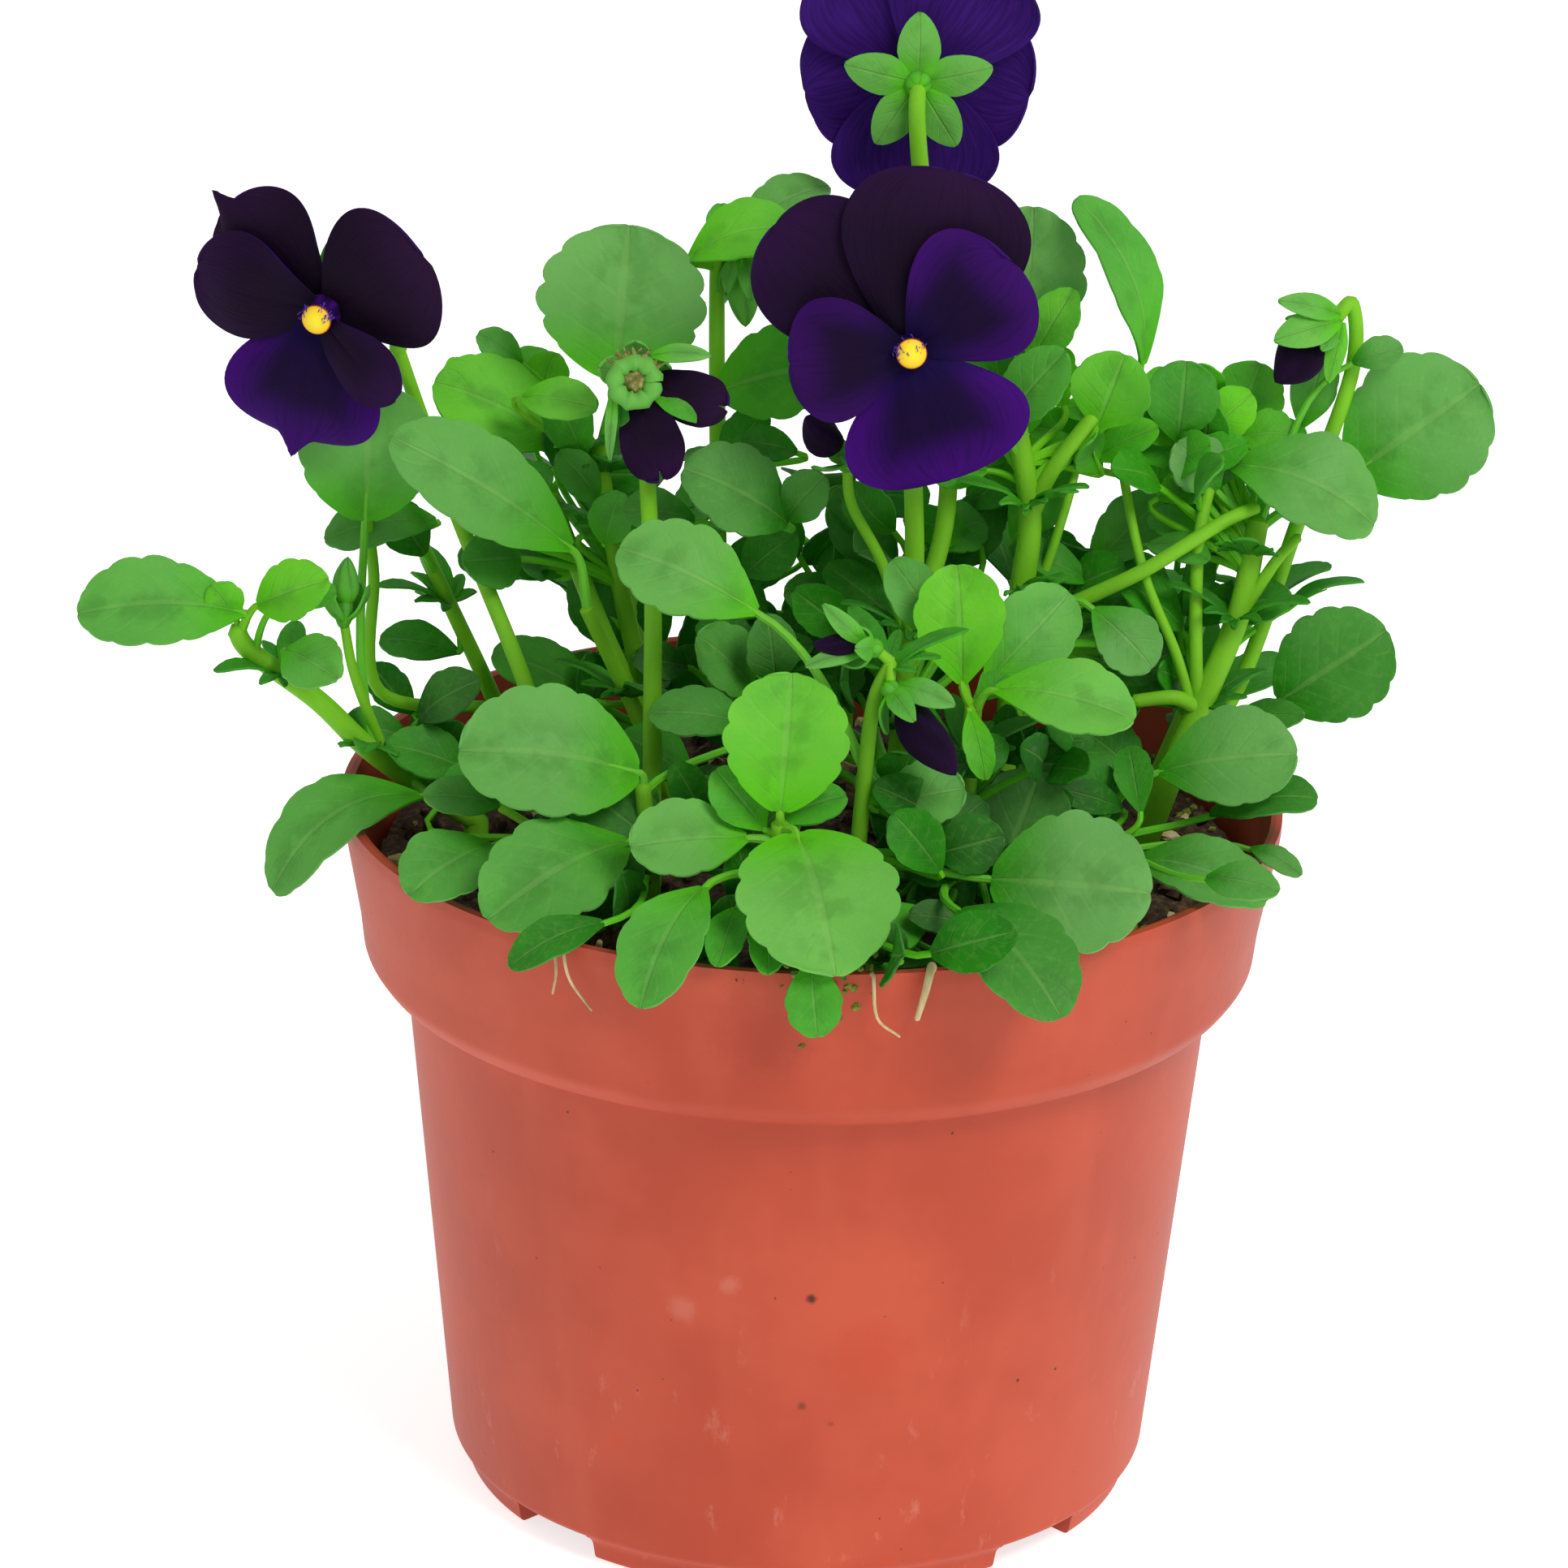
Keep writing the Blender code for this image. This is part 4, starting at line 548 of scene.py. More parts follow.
MORE_STIPULES = {
    "shoot_front_rosette": [(0.45, 200), (0.45, 340)],
    "shoot_mid_rosette": [(0.75, 20), (0.75, 190)],
    "shoot_front_left": [(0.6, 100), (0.6, 240)],
    "shoot_creeping": [(0.45, 80), (0.8, 230), (0.8, 60)],
    "shoot_back_left": [(0.7, 100)],
    "shoot_long_leaf": [(0.6, 160), (0.6, 300)],
    "shoot_tall_left": [(0.75, 190), (0.75, 320), (0.92, 260)],
    "shoot_tall_mid": [(0.42, 330), (0.55, 280)],
    "shoot_middle": [(0.9, 200), (0.9, 340), (0.5, 250)],
    "shoot_forked": [(0.8, 350), (0.8, 200), (0.6, 300)],
    "shoot_right": [(0.72, 320), (0.9, 250), (0.45, 30)],
    "shoot_rear_left": [(0.6, 100), (0.9, 165)],
    "shoot_rear": [(0.6, 90), (0.9, 20)],
    "shoot_rear_right": [(0.6, 60), (0.9, 110)],
    "shoot_rear_far_right": [(0.6, 40), (0.9, 100)],
}


# ---------------------------------------------------------------- paths and blades


def smooth_path(points, steps):
    """A Catmull-Rom curve through the points, with this many steps between two of them."""
    points = [Vector(p) for p in points]
    padded = [2 * points[0] - points[1], *points, 2 * points[-1] - points[-2]]
    path = []
    for a, b, c, d in zip(padded, padded[1:], padded[2:], padded[3:]):
        for i in range(steps):
            t = i / steps
            bend = (2 * a - 5 * b + 4 * c - d) * t * t + (3 * b - a - 3 * c + d) * t**3
            path.append(0.5 * (2 * b + (c - a) * t + bend))
    return path + [points[-1]]


def point_on(path, share):
    """The point this share of the way along the path, and the path's direction there."""
    lengths = [(b - a).length for a, b in zip(path, path[1:])]
    left = share * sum(lengths)
    for (a, b), length in zip(zip(path, path[1:]), lengths):
        if left <= length:
            break
        left -= length
    return a.lerp(b, min(1, left / length)), (b - a).normalized()


# Outlines of the plain blades that find room for the fine ones: where along the blade it is widest, its width
# at the root as a share of that, how soon it widens and how blunt the tip is (powers), and the shares of the
# length at which it has points, each with how deep it is notched there.
ROUND = (0.53, 0.14, 0.74, 0.45, ((0, 0), (0.14, 0), (0.34, 0), (0.47, 1), (0.63, 0), (0.76, 1), (0.91, 0)))
TOOTHED_WIDE = (
    0.57, 0.1, 1.05, 0.44,
    ((0, 0), (0.23, 0), (0.42, 0), (0.5, 1), (0.66, 0), (0.75, 1), (0.91, 0)),
)
TOOTHED = (0.56, 0.12, 1.0, 0.45, ((0, 0), (0.32, 0), (0.52, 0), (0.62, 1), (0.86, 0)))
PLAIN = (0.55, 0.16, 1.0, 0.5, ((0, 0), (0.45, 0), (0.86, 0)))
PETAL = (0.63, 0.2, 1.0, 0.42, ((0, 0), (0.25, 0), (0.55, 0), (0.8, 0), (0.95, 0)))
SEPAL = (0.42, 0.34, 1.2, 0.7, ((0, 0), (0.4, 0), (0.78, 0)))
LOBED = (0.5, 0.25, 1.2, 0.9, ((0, 0), (0.34, 0), (0.48, 4.2), (0.72, 0)))
SLIM = (0.4, 0.5, 1.2, 0.7, ((0, 0), (0.45, 0)))


def half_width(outline, share, notch=0.0):
    widest, root, swell, blunt, _ = outline
    if share < widest:
        full = root + (1 - root) * math.sin(math.pi / 2 * share / widest) ** swell
    else:
        full = max(0, 1 - ((share - widest) / (1 - widest)) ** 2) ** blunt
    return full * (1 - TOOTH * notch)


class Blade:
    """A leaf, petal or sepal. Its midrib is arched from root to tip, and its outline is alike on both sides.
    A leaf has a petiole too: start is where it leaves the stem, and heading is the stem's direction there."""

    def __init__(self, root, tip, width, face, arch, outline, cup=0.14, start=None, heading=None):
        self.root = Vector(root)
        self.length = (Vector(tip) - self.root).length
        self.along = (Vector(tip) - self.root).normalized()
        self.up = Vector(face).normalized()
        self.up = (self.up - self.up.dot(self.along) * self.along).normalized()
        self.side = self.along.cross(self.up)
        self.width = width
        self.arch = arch
        self.outline = outline
        self.cup = cup
        self.start = start
        self.heading = heading
        self.petiole = self.petiole_rows() if start else []

    def midrib(self, share):
        rise = 4 * self.arch * self.length * share * (1 - share)
        return self.root + self.along * self.length * share + self.up * rise

    def petiole_point(self, t):
        """The petiole's middle and direction, from the blade's root (0) to the stem's middle (1)."""
        reach = (self.root - self.start).length
        out = ((self.root - self.start).normalized() + self.heading * 0.4).normalized()
        bend = self.start + out * reach * 0.4
        near = self.root - (self.midrib(0.1) - self.root).normalized() * reach * 0.35
        u = 1 - t
        middle = t**3 * self.start + 3 * t * t * u * bend + 3 * t * u * u * near + u**3 * self.root
        way = t * t * (bend - self.start) + 2 * t * u * (near - bend) + u * u * (self.root - near)
        return middle, way

    def petiole_rows(self):
        """(middle, side) at each row from the stem's middle to just before the blade's root."""
        rows, side, before = [], self.side, self.along
        for t in (0.33, 0.67, 1) if (self.root - self.start).length > 12 else (0.5, 1):
            middle, way = self.petiole_point(t)
            side = before.rotation_difference(way) @ side
            before = way
            rows.append((middle, side))
        return rows[::-1]

    def surface(self):
        """The plain middle sheet: petiole rows of two points, blade rows of three, and the tip."""
        points, faces = [], []
        half = PETIOLE / 2 * min(1, 0.6 + self.width / 30)
        for row, (middle, side) in enumerate(self.petiole):
            points += [middle - side * half, middle + side * half]
            if row:
                a, b, c, d = range(len(points) - 4, len(points))
                faces += [(a, b, d), (a, d, c)]
        for row, (share, notch) in enumerate(self.outline[4]):
            half = self.width / 2 * half_width(self.outline, share, notch)
            lift = self.up * self.cup * half
            middle = self.midrib(share)
            points += [middle - self.side * half + lift, middle, middle + self.side * half + lift]
            if row:
                a, b, c, d, e, f = range(len(points) - 6, len(points))
                faces += [(a, b, e), (a, e, d), (b, c, e), (c, f, e)]
            elif self.petiole:
                a, b, d, e, f = range(len(points) - 5, len(points))
                faces += [(a, b, e), (a, e, d), (b, f, e)]
        a, b, c = range(len(points) - 3, len(points))
        points.append(self.midrib(1))
        faces += [(a, b, c + 1), (b, c, c + 1)]
        return points, faces

    def guard(self, outer=False):
        """Three sheets, in and just outside the leaf's faces, to test what it would cross. They leave out the
        petiole's end inside the stem or, where only the outer part is asked for, all but the blade."""
        points, faces = self.surface()
        stalk = 2 * len(self.petiole)
        first = 0
        if self.petiole:
            first = stalk + 3 if outer else 2
        kept = [face for face in faces if min(face) >= first]
        sheets, together = [], []
        for level in (-1, 0, 1):
            together += [tuple(i + len(sheets) for i in face) for face in kept]
            for i, point in enumerate(points):
                half = (PETIOLE_THICKNESS if i < stalk else BLADE) / 2
                sheets.append(point + self.up * level * (half + CLEARANCE))
        return sheets, together


def tube_guard(path, radius):
    """A four-sided sheath a little wider than a stem, to test what would cross it."""
    points, faces = [], []
    for i, at in enumerate(path):
        ahead = (path[min(i + 1, len(path) - 1)] - path[max(i - 1, 0)]).normalized()
        side = ahead.orthogonal().normalized()
        for k in range(4):
            turn = Matrix.Rotation(k * math.pi / 2, 3, ahead)
            points.append(at + turn @ side * (radius + CLEARANCE) * 1.2)
        if i:
            faces += band(4 * i - 4, 4 * i, 4)
    return points, faces


def band(lower, upper, sides):
    """The faces between two rings of points, which start at these numbers."""
    return [(lower + k, lower + (k + 1) % sides, upper + (k + 1) % sides, upper + k) for k in range(sides)]


def own_blades(node):
    return f"{node} blades"


class Clearances:
    """What is already placed, by node, as guards that a new piece must not cross."""

    def __init__(self):
        self.trees = {}

    def add(self, node, guard):
        self.trees.setdefault(node, []).append(BVHTree.FromPolygons(*guard))

    def crosses(self, node, guard, others=()):
        """Whether the guard crosses anything of another node, these others left out too."""
        mine = BVHTree.FromPolygons(*guard)
        return any(
            mine.overlap(placed)
            for other, trees in self.trees.items()
            if other != node and other not in others
            for placed in trees
        )


def leaf_outline(width, length):
    if width >= WIDE_LEAF:
        return ROUND if width > ROUND_LEAF * length else TOOTHED_WIDE
    return TOOTHED if width > NARROW_LEAF else PLAIN


def place_leaf(node, leaf, stem, clear):
    """The leaf as a blade with its petiole, swung back or forward until it crosses nothing, or at least
    nothing of another node."""
    at, root, tip, width, face, arch = leaf[:6]
    start, heading = point_on(stem, at)
    fits = None
    for swing in SWINGS:
        shift = BACK * swing
        blade = Blade(
            Vector(root) + shift,
            Vector(tip) + shift * 1.2,
            width,
            face,
            arch,
            leaf_outline(width, (Vector(tip) - Vector(root)).length),
            start=start,
            heading=heading,
        )
        if not clear.crosses(node, blade.guard()):
            fits = blade
            break
        if fits is None and not clear.crosses(node, blade.guard(), (own_blades(node),)):
            fits = blade
    if fits is None:
        return None
    clear.add(node, fits.guard())
    clear.add(own_blades(node), fits.guard(outer=True))
    return fits


def place_stipule(node, at, heading, stem, clear):
    """A lobed stipule that stands out from the stem, or nothing where there is no room for it."""
    start, way = point_on(stem, at)
    for turn in (0, 30, -30, 60, -60, 90, -90):
        angle = math.radians(heading + turn)
        out = Vector((math.cos(angle), math.sin(angle), 0))
        out = (out + way * 0.5).normalized()
        face = UP - out * 0.4 - way * 0.2
        blade = Blade(start + out * 0.5, start + out * STIPULE_LENGTH, STIPULE_WIDTH, face, 0.12, LOBED)
        if not clear.crosses(node, blade.guard()):
            clear.add(node, blade.guard())
            return blade
    return None


def axes_facing(facing, roll):
    """The right and up directions in the plane of a flower that faces this way, rolled anticlockwise."""
    facing = Vector(facing).normalized()
    right = UP.cross(facing).normalized()
    right = Matrix.Rotation(math.radians(roll), 3, facing) @ right
    return facing, right, facing.cross(right)


# ---------------------------------------------------------------- meshes


class Growth:
    """A piece's mesh as it is gathered. Each point carries four marks that the materials read: how far along
    its blade it lies, how far across it, its tone, and a second shade, which paints a pale sheen on upper
    faces and marks undersides."""

    MARKS = ("along", "across", "tone", "sheen_and_underside")

    def __init__(self):
        self.points, self.faces, self.marks = [], [], []

    def add(self, points, faces, marks):
        start = len(self.points)
        self.points += points
        self.faces += [tuple(i + start for i in face) for face in faces]
        self.marks += marks

    def blade(self, blade, form, tone, sheen_and_underside, rng):
        rows = form["rows"]
        waves = [rng.uniform(0, 2 * math.pi) for _ in range(3)]
        grid, marks = [], []
        for row in range(rows):
            # The rows crowd towards the root and the tip.
            share = (1 - math.cos(math.pi * (row + 0.15) / (rows + 0.15))) / 2
            line = []
            for across in form["columns"]:
                line.append(blade_point(blade, form, row / rows, share, across, waves))
                marks.append((share, across, tone, sheen_and_underside))
            grid.append(line)
        tip = blade_point(blade, form, 1, 1, 0, waves)
        points, faces = shell(grid, tip, form["thickness"])
        # The second mark paints a pale sheen on the upper face; the underside gets more of it for its paler
        # colour.
        under = form["under"]
        marks = marks + [(a, b, c, d + under) for a, b, c, d in marks] + [(1, 0, tone, sheen_and_underside)]
        self.add(points, faces, marks)

    def rod(self, path, radii, sides, tone, sheen_and_underside, tip=True):
        """A round stem along the path, with rounded or flat ends."""
        points, faces = [], []
        ahead = (path[1] - path[0]).normalized()
        side = ahead.orthogonal().normalized()
        for i, (at, radius) in enumerate(zip(path, radii)):
            way = (path[min(i + 1, len(path) - 1)] - path[max(i - 1, 0)]).normalized()
            side = ahead.rotation_difference(way) @ side
            ahead = way
            other = way.cross(side)
            for k in range(sides):
                angle = 2 * math.pi * k / sides
                points.append(at + (side * math.cos(angle) + other * math.sin(angle)) * radius)
            if i:
                faces += band(sides * (i - 1), sides * i, sides)
        faces.append(tuple(range(sides))[::-1])
        last = len(points) - sides
        if tip:
            points.append(path[-1] + ahead * radii[-1] * 0.8)
            faces += [(last + k, last + (k + 1) % sides, last + sides) for k in range(sides)]
        else:
            faces.append(tuple(range(last, last + sides)))
        marks = [(0.5, 1, tone, sheen_and_underside)] * len(points)
        self.add(points, faces, marks)

    def spindle(self, root, tip, width, tone, sheen_and_underside, rings=12, sides=16, fullest=0.8, folds=0.0, twist=0.0):
        """A bud or a calyx from root to tip, with folds that wind round it."""
        root, tip = Vector(root), Vector(tip)
        along = (tip - root).normalized()
        side = along.orthogonal().normalized()
        other = along.cross(side)
        points, faces, marks = [root], [], [(0, 0, tone, sheen_and_underside)]
        for ring in range(1, rings + 1):
            share = ring / (rings + 1)
            radius = width / 2 * math.sin(math.pi * share**fullest) ** 0.7
            for k in range(sides):
                angle = 2 * math.pi * k / sides
                deep = radius * (1 - folds * (0.5 + 0.5 * math.cos(3 * angle + twist * share)))
                out = side * math.cos(angle) + other * math.sin(angle)
                points.append(root.lerp(tip, share) + out * deep)
                marks.append((share, math.cos(3 * angle + twist * share), tone, sheen_and_underside))
        points.append(tip)
        marks.append((1, 0, tone, sheen_and_underside))
        for k in range(sides):
            after = (k + 1) % sides
            faces.append((0, 1 + after, 1 + k))
            for ring in range(rings - 1):
                a = 1 + ring * sides
                faces.append((a + k, a + after, a + sides + after, a + sides + k))
            last = 1 + (rings - 1) * sides
            faces.append((last + k, last + after, len(points) - 1))
        self.add(points, faces, marks)

    def piece(self, name, finish, slot, *nodes):
        """The gathered mesh as a piece of the scene that rides on the pot and stands for these nodes."""
        made = plain_piece(name, self.points, self.faces, finish, 50)
        for i, mark in enumerate(self.MARKS):
            values = made.data.attributes.new(mark, "FLOAT", "POINT")
            values.data.foreach_set("value", [marks[i] for marks in self.marks])
        dress(made, slot, *nodes)


def plain_piece(name, points, faces, finish, smooth):
    """An object of these points and faces, smooth but for edges sharper than this angle in degrees."""
    mesh = bpy.data.meshes.new(name)
    mesh.from_pydata([point * MM for point in points], [], faces)
    mesh.update()
    mesh.materials.append(finish)
    made = bpy.data.objects.new(name, mesh)
    bpy.context.scene.collection.objects.link(made)
    mesh.shade_smooth()
    mesh.set_sharp_from_angle(angle=math.radians(smooth))
    return made


def dress(made, slot, *nodes):
    """Lets a piece ride on the pot and hides the nodes that it stands for. Its material slot is not used."""
    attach(made, "root")
    if nodes:
        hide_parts(*nodes)


def shell(grid, tip, thickness):
    """Points and faces of a thin closed sheet, whose rows run from its root to its tip, which is a point."""
    rows, wide = len(grid), len(grid[0])
    top, under = [], []
    for i, row in enumerate(grid):
        for j, at in enumerate(row):
            ahead = grid[min(i + 1, rows - 1)][j] - grid[max(i - 1, 0)][j]
            right = row[min(j + 1, wide - 1)] - row[max(j - 1, 0)]
            lift = right.cross(ahead).normalized() * thickness / 2
            top.append(at + lift)
            under.append(at - lift)
    count = rows * wide
    faces = []
    for i in range(rows - 1):
        for j in range(wide - 1):
            a = i * wide + j
            faces.append((a, a + 1, a + wide + 1, a + wide))
            faces.append((count + a + wide, count + a + wide + 1, count + a + 1, count + a))
        left, right = i * wide, i * wide + wide - 1
        faces.append((left, left + wide, count + left + wide, count + left))
        faces.append((count + right, count + right + wide, right + wide, right))
    last = count - wide
    for j in range(wide - 1):
        faces.append((j + 1, j, count + j, count + j + 1))
        faces.append((last + j, last + j + 1, 2 * count))
        faces.append((count + last + j + 1, count + last + j, 2 * count))
    faces.append((last, 2 * count, count + last))
    faces.append((count + count - 1, 2 * count, count - 1))
    return top + under + [Vector(tip)], faces


def blade_point(blade, form, row, share, across, waves):
    """A point of a fine blade: share is how far along it lies and row how far along its margin."""
    half = blade.width / 2 * half_width(blade.outline, share)
    first = form.get("bare", 0.3)
    if form["lobes"] and row > first:
        phase = form["lobes"] * (row - first) / (1 - first)
        beat = math.sin(math.pi * (phase % 1) ** 1.15)
        half *= 1 - form["notch"] * (1 - max(0, beat) ** 0.6) * abs(across)
    ripple = math.sin(form["ripples"] * 2 * math.pi * row + waves[0 if across < 0 else 1])
    lift = blade.cup * half * abs(across) ** form["curl"]
    lift += form["ruffle"] * ripple * across * across * min(1, 3 * share)
    lift += form["swell"] * math.sin(2 * math.pi * share + waves[2]) * (1 - abs(across))
    lift -= form["groove"] * math.exp(-((across / 0.09) ** 2)) * (1 - share) * min(1, 8 * share)
    if form["quilt"]:
        beat = ((share - VEIN_SLANT * abs(across)) * VEINS + 0.5) % 1 - 0.5
        lift -= form["quilt"] * math.exp(-((beat / 0.16) ** 2)) * (1 - across * across)
    reach = share * (1 - form.get("cleft", 0) * math.exp(-((across / 0.3) ** 2)) * share**2)
    middle = blade.midrib(share) + blade.along * blade.length * (reach - share)
    return middle + blade.side * half * across + blade.up * lift


# ---------------------------------------------------------------- materials


def colour(red, green, blue):
    """A screen colour (0 to 255) as the linear one that a shader takes."""
    shades = []
    for value in (red, green, blue):
        value /= 255
        shades.append(value / 12.92 if value <= 0.04045 else ((value + 0.055) / 1.055) ** 2.4)
    return (*shades, 1)


class Wires:
    """A node tree, with short ways to add its nodes. A value that isn't a socket is set as a constant."""

    def __init__(self, tree):
        self.tree = tree

    def add(self, kind, settings=None, **inputs):
        node = self.tree.nodes.new(kind)
        for name, value in (settings or {}).items():
            setattr(node, name, value)
        self.give(node, **inputs)
        return node

    def give(self, node, **inputs):
        """Feeds the node's inputs by their names, with _ for a space."""
        for name, value in inputs.items():
            self.feed(node.inputs[name.replace("_", " ")], value)

    def feed(self, socket, value):
        if isinstance(value, bpy.types.NodeSocket):
            self.tree.links.new(value, socket)
        else:
            socket.default_value = value

    def math(self, operation, a, b=0.0):
        node = self.add("ShaderNodeMath", {"operation": operation})
        for socket, value in zip(node.inputs, (a, b)):
            self.feed(socket, value)
        return node.outputs[0]

    def times(self, a, b):
        return self.math("MULTIPLY", a, b)

    def without(self, a, b):
        return self.math("SUBTRACT", a, b)

    def mark(self, name):
        return self.add("ShaderNodeAttribute", {"attribute_name": name}).outputs["Fac"]

    def mix(self, share, a, b):
        node = self.add("ShaderNodeMix", {"data_type": "RGBA"})
        for socket, value in zip((node.inputs[0], node.inputs[6], node.inputs[7]), (share, a, b)):
            self.feed(socket, value)
        return node.outputs[2]

    def ramp(self, share, *stops):
        """A run of colours, each given by the share at which it is purest and its red, green and blue."""
        node = self.add("ShaderNodeValToRGB", Fac=share)
        elements = node.color_ramp.elements
        while len(elements) < len(stops):
            elements.new(0.5)
        for element, (position, *shade) in zip(elements, stops):
            element.position = position
            element.color = colour(*shade)
        return node.outputs[0]

    def window(self, value, low, high):
        """0 below low, 1 above high and smooth between."""
        node = self.add("ShaderNodeMapRange", {"interpolation_type": "SMOOTHSTEP"})
        for socket, given in zip(node.inputs, (value, low, high, 0.0, 1.0)):
            self.feed(socket, given)
        return node.outputs[0]

    def noise(self, fineness, detail, roughness=0.5, stretch=None):
        """Noise in the part's own space, with so many waves to the metre, drawn out by the stretch."""
        place = self.add("ShaderNodeNewGeometry").outputs["Position"]
        if stretch:
            stretched = self.add("ShaderNodeVectorMath", {"operation": "MULTIPLY"}, Vector=place)
            self.feed(stretched.inputs[1], stretch)
            place = stretched.outputs[0]
        grain = {"Vector": place, "Scale": fineness, "Detail": detail, "Roughness": roughness}
        return self.add("ShaderNodeTexNoise", **grain).outputs["Fac"]


def new_group(name, outputs, inputs=()):
    """A node group with these outputs and inputs, each a name and the kind of its socket."""
    tree = bpy.data.node_groups.new(name, "ShaderNodeTree")
    for way, sockets in (("OUTPUT", outputs), ("INPUT", inputs)):
        for socket, kind in sockets:
            tree.interface.new_socket(socket, in_out=way, socket_type=f"NodeSocket{kind}")
    wires = Wires(tree)
    return wires, wires.add("NodeGroupOutput")


def new_material(name, group=None):
    """A material with a Principled shader, and the group's node where there is one."""
    made = bpy.data.materials.new(name)
    made.use_nodes = True
    wires = Wires(made.node_tree)
    shader = made.node_tree.nodes["Principled BSDF"]
    look = wires.add("ShaderNodeGroup", {"node_tree": group}) if group else None
    return made, wires, shader, look


def bump(wires, shader, height, distance):
    node = wires.add("ShaderNodeBump", Height=height, Distance=distance * MM, Strength=1.0)
    wires.give(shader, Normal=node.outputs[0])


def let_light_through(wires, shader, shade, share):
    """Mixes in a share of light that comes through a thin leaf from behind."""
    through = wires.add("ShaderNodeBsdfTranslucent", Color=shade)
    both = wires.add("ShaderNodeMixShader")
    both.inputs[0].default_value = share
    wires.feed(both.inputs[1], shader.outputs[0])
    wires.feed(both.inputs[2], through.outputs[0])
    wires.give(wires.tree.nodes["Material Output"], Surface=both.outputs[0])


def leaf_group():
    """A leaf's colours by its tone, which is partly painted shade, its veins, a painted pale sheen and its
    paler underside, painted light near each blade's root, painted shade along its middle, and a bump for the
    veins and the skin.
    """
    wires, out = new_group("leaf_look", (("Colour", "Color"), ("Height", "Float"), ("Roughness", "Float")))
    along, across, tone, sheen_and_underside = (wires.mark(name) for name in Growth.MARKS)
    wide = wires.math("ABSOLUTE", across)
    blotch = wires.noise(0.16 / MM, 4)
    # The tone runs from shaded to lit leaves, so this ramp's dark end is partly painted shade.
    shade = wires.math("ADD", tone, wires.times(wires.without(blotch, 0.5), 0.42))
    base = wires.ramp(
        shade,
        (0.0, 14, 92, 8),
        (0.3, 46, 148, 20),
        (0.65, 78, 192, 34),
        (1.0, 124, 232, 36),
    )
    base = wires.mix(wires.window(tone, 1.0, STEM_TONE), base, colour(146, 226, 34))
    # Painted light: each blade is brightest near its root, and outwards a painted pale sheen covers its
    # upper face; on the underside the same mark makes it paler.
    painted_root_light = wires.times(wires.window(along, 0.6, 0.0), wires.window(tone, 0.25, 0.85))
    base = wires.mix(wires.times(painted_root_light, 0.8), base, colour(104, 222, 16))
    pale = wires.times(sheen_and_underside, wires.window(along, 0.0, 0.55))
    base = wires.mix(wires.times(pale, 0.9), base, colour(138, 196, 118))
    # Painted shade: darker patches along the middle of each blade.
    middle = wires.times(wires.window(wide, 0.8, 0.1), wires.window(wires.noise(0.28 / MM, 3), 0.42, 0.62))
    base = wires.mix(wires.times(middle, 0.3), base, colour(52, 118, 36))
    # Side veins leave the midrib and lean towards the tip.
    phase = wires.times(wires.without(along, wires.times(wide, VEIN_SLANT)), VEINS)
    from_vein = wires.without(wires.math("FRACT", wires.math("ADD", phase, 0.5)), 0.5)
    from_vein = wires.math("ABSOLUTE", from_vein)
    side_vein = wires.without(1.0, wires.window(from_vein, 0.03, 0.11))
    side_vein = wires.times(side_vein, wires.without(1.0, wires.window(wide, 0.55, 0.95)))
    midrib = wires.without(1.0, wires.window(wide, 0.025, 0.085))
    vein = wires.math("MAXIMUM", wires.times(side_vein, 0.25), wires.times(midrib, 0.9))
    netted = wires.window(wires.noise(1.1 / MM, 2, 0.6), 0.52, 0.62)
    shown = wires.mix(wires.times(netted, 0.1), base, colour(150, 205, 95))
    shown = wires.mix(wires.times(vein, 0.2), shown, colour(172, 220, 124))
    swell = wires.without(1.0, wires.times(vein, 0.5))
    skin = wires.times(wires.noise(1.6 / MM, 3, 0.6), 0.35)
    rough = wires.math("ADD", 0.36, wires.times(blotch, 0.26))
    wires.give(out, Colour=shown, Height=wires.math("ADD", swell, skin), Roughness=rough)
    return wires.tree


def petal_group():
    """A petal's colours: near-black above, violet below with a dark middle, and blue on its underside."""
    wires, out = new_group("petal_look", (("Colour", "Color"), ("Height", "Float")))
    along, across, tone, sheen_and_underside = (wires.mark(name) for name in Growth.MARKS)
    wide = wires.math("ABSOLUTE", across)
    upper = wires.ramp(along, (0.0, 12, 2, 22), (0.6, 24, 5, 32), (1.0, 38, 12, 50))
    edge = wires.math("MAXIMUM", wires.window(wide, 0.35, 1.0), wires.window(along, 0.55, 1.0))
    lower = wires.ramp(edge, (0.0, 20, 0, 50), (0.4, 44, 0, 88), (1.0, 60, 2, 112))
    near_eye = wires.without(1.0, wires.window(along, 0.05, 0.38))
    lower = wires.mix(near_eye, lower, colour(14, 0, 62))
    shown = wires.mix(tone, upper, lower)
    # Fine streaks fan out from the root.
    fan = wires.add("ShaderNodeCombineXYZ", X=wires.times(across, 22.0), Y=wires.times(along, 3.0), Z=tone)
    streak = wires.add("ShaderNodeTexNoise", Vector=fan.outputs[0], Scale=1.0, Detail=2.0, Roughness=0.5)
    streak = streak.outputs["Fac"]
    shown = wires.mix(wires.times(wires.window(streak, 0.45, 0.75), 0.3), shown, colour(8, 0, 14))
    under = wires.mix(wires.window(streak, 0.3, 0.75), colour(44, 12, 92), colour(58, 20, 116))
    shown = wires.mix(sheen_and_underside, shown, under)
    relief = wires.math("ADD", streak, wires.times(wires.noise(2.0 / MM, 2), 0.4))
    wires.give(out, Colour=shown, Height=relief)
    return wires.tree


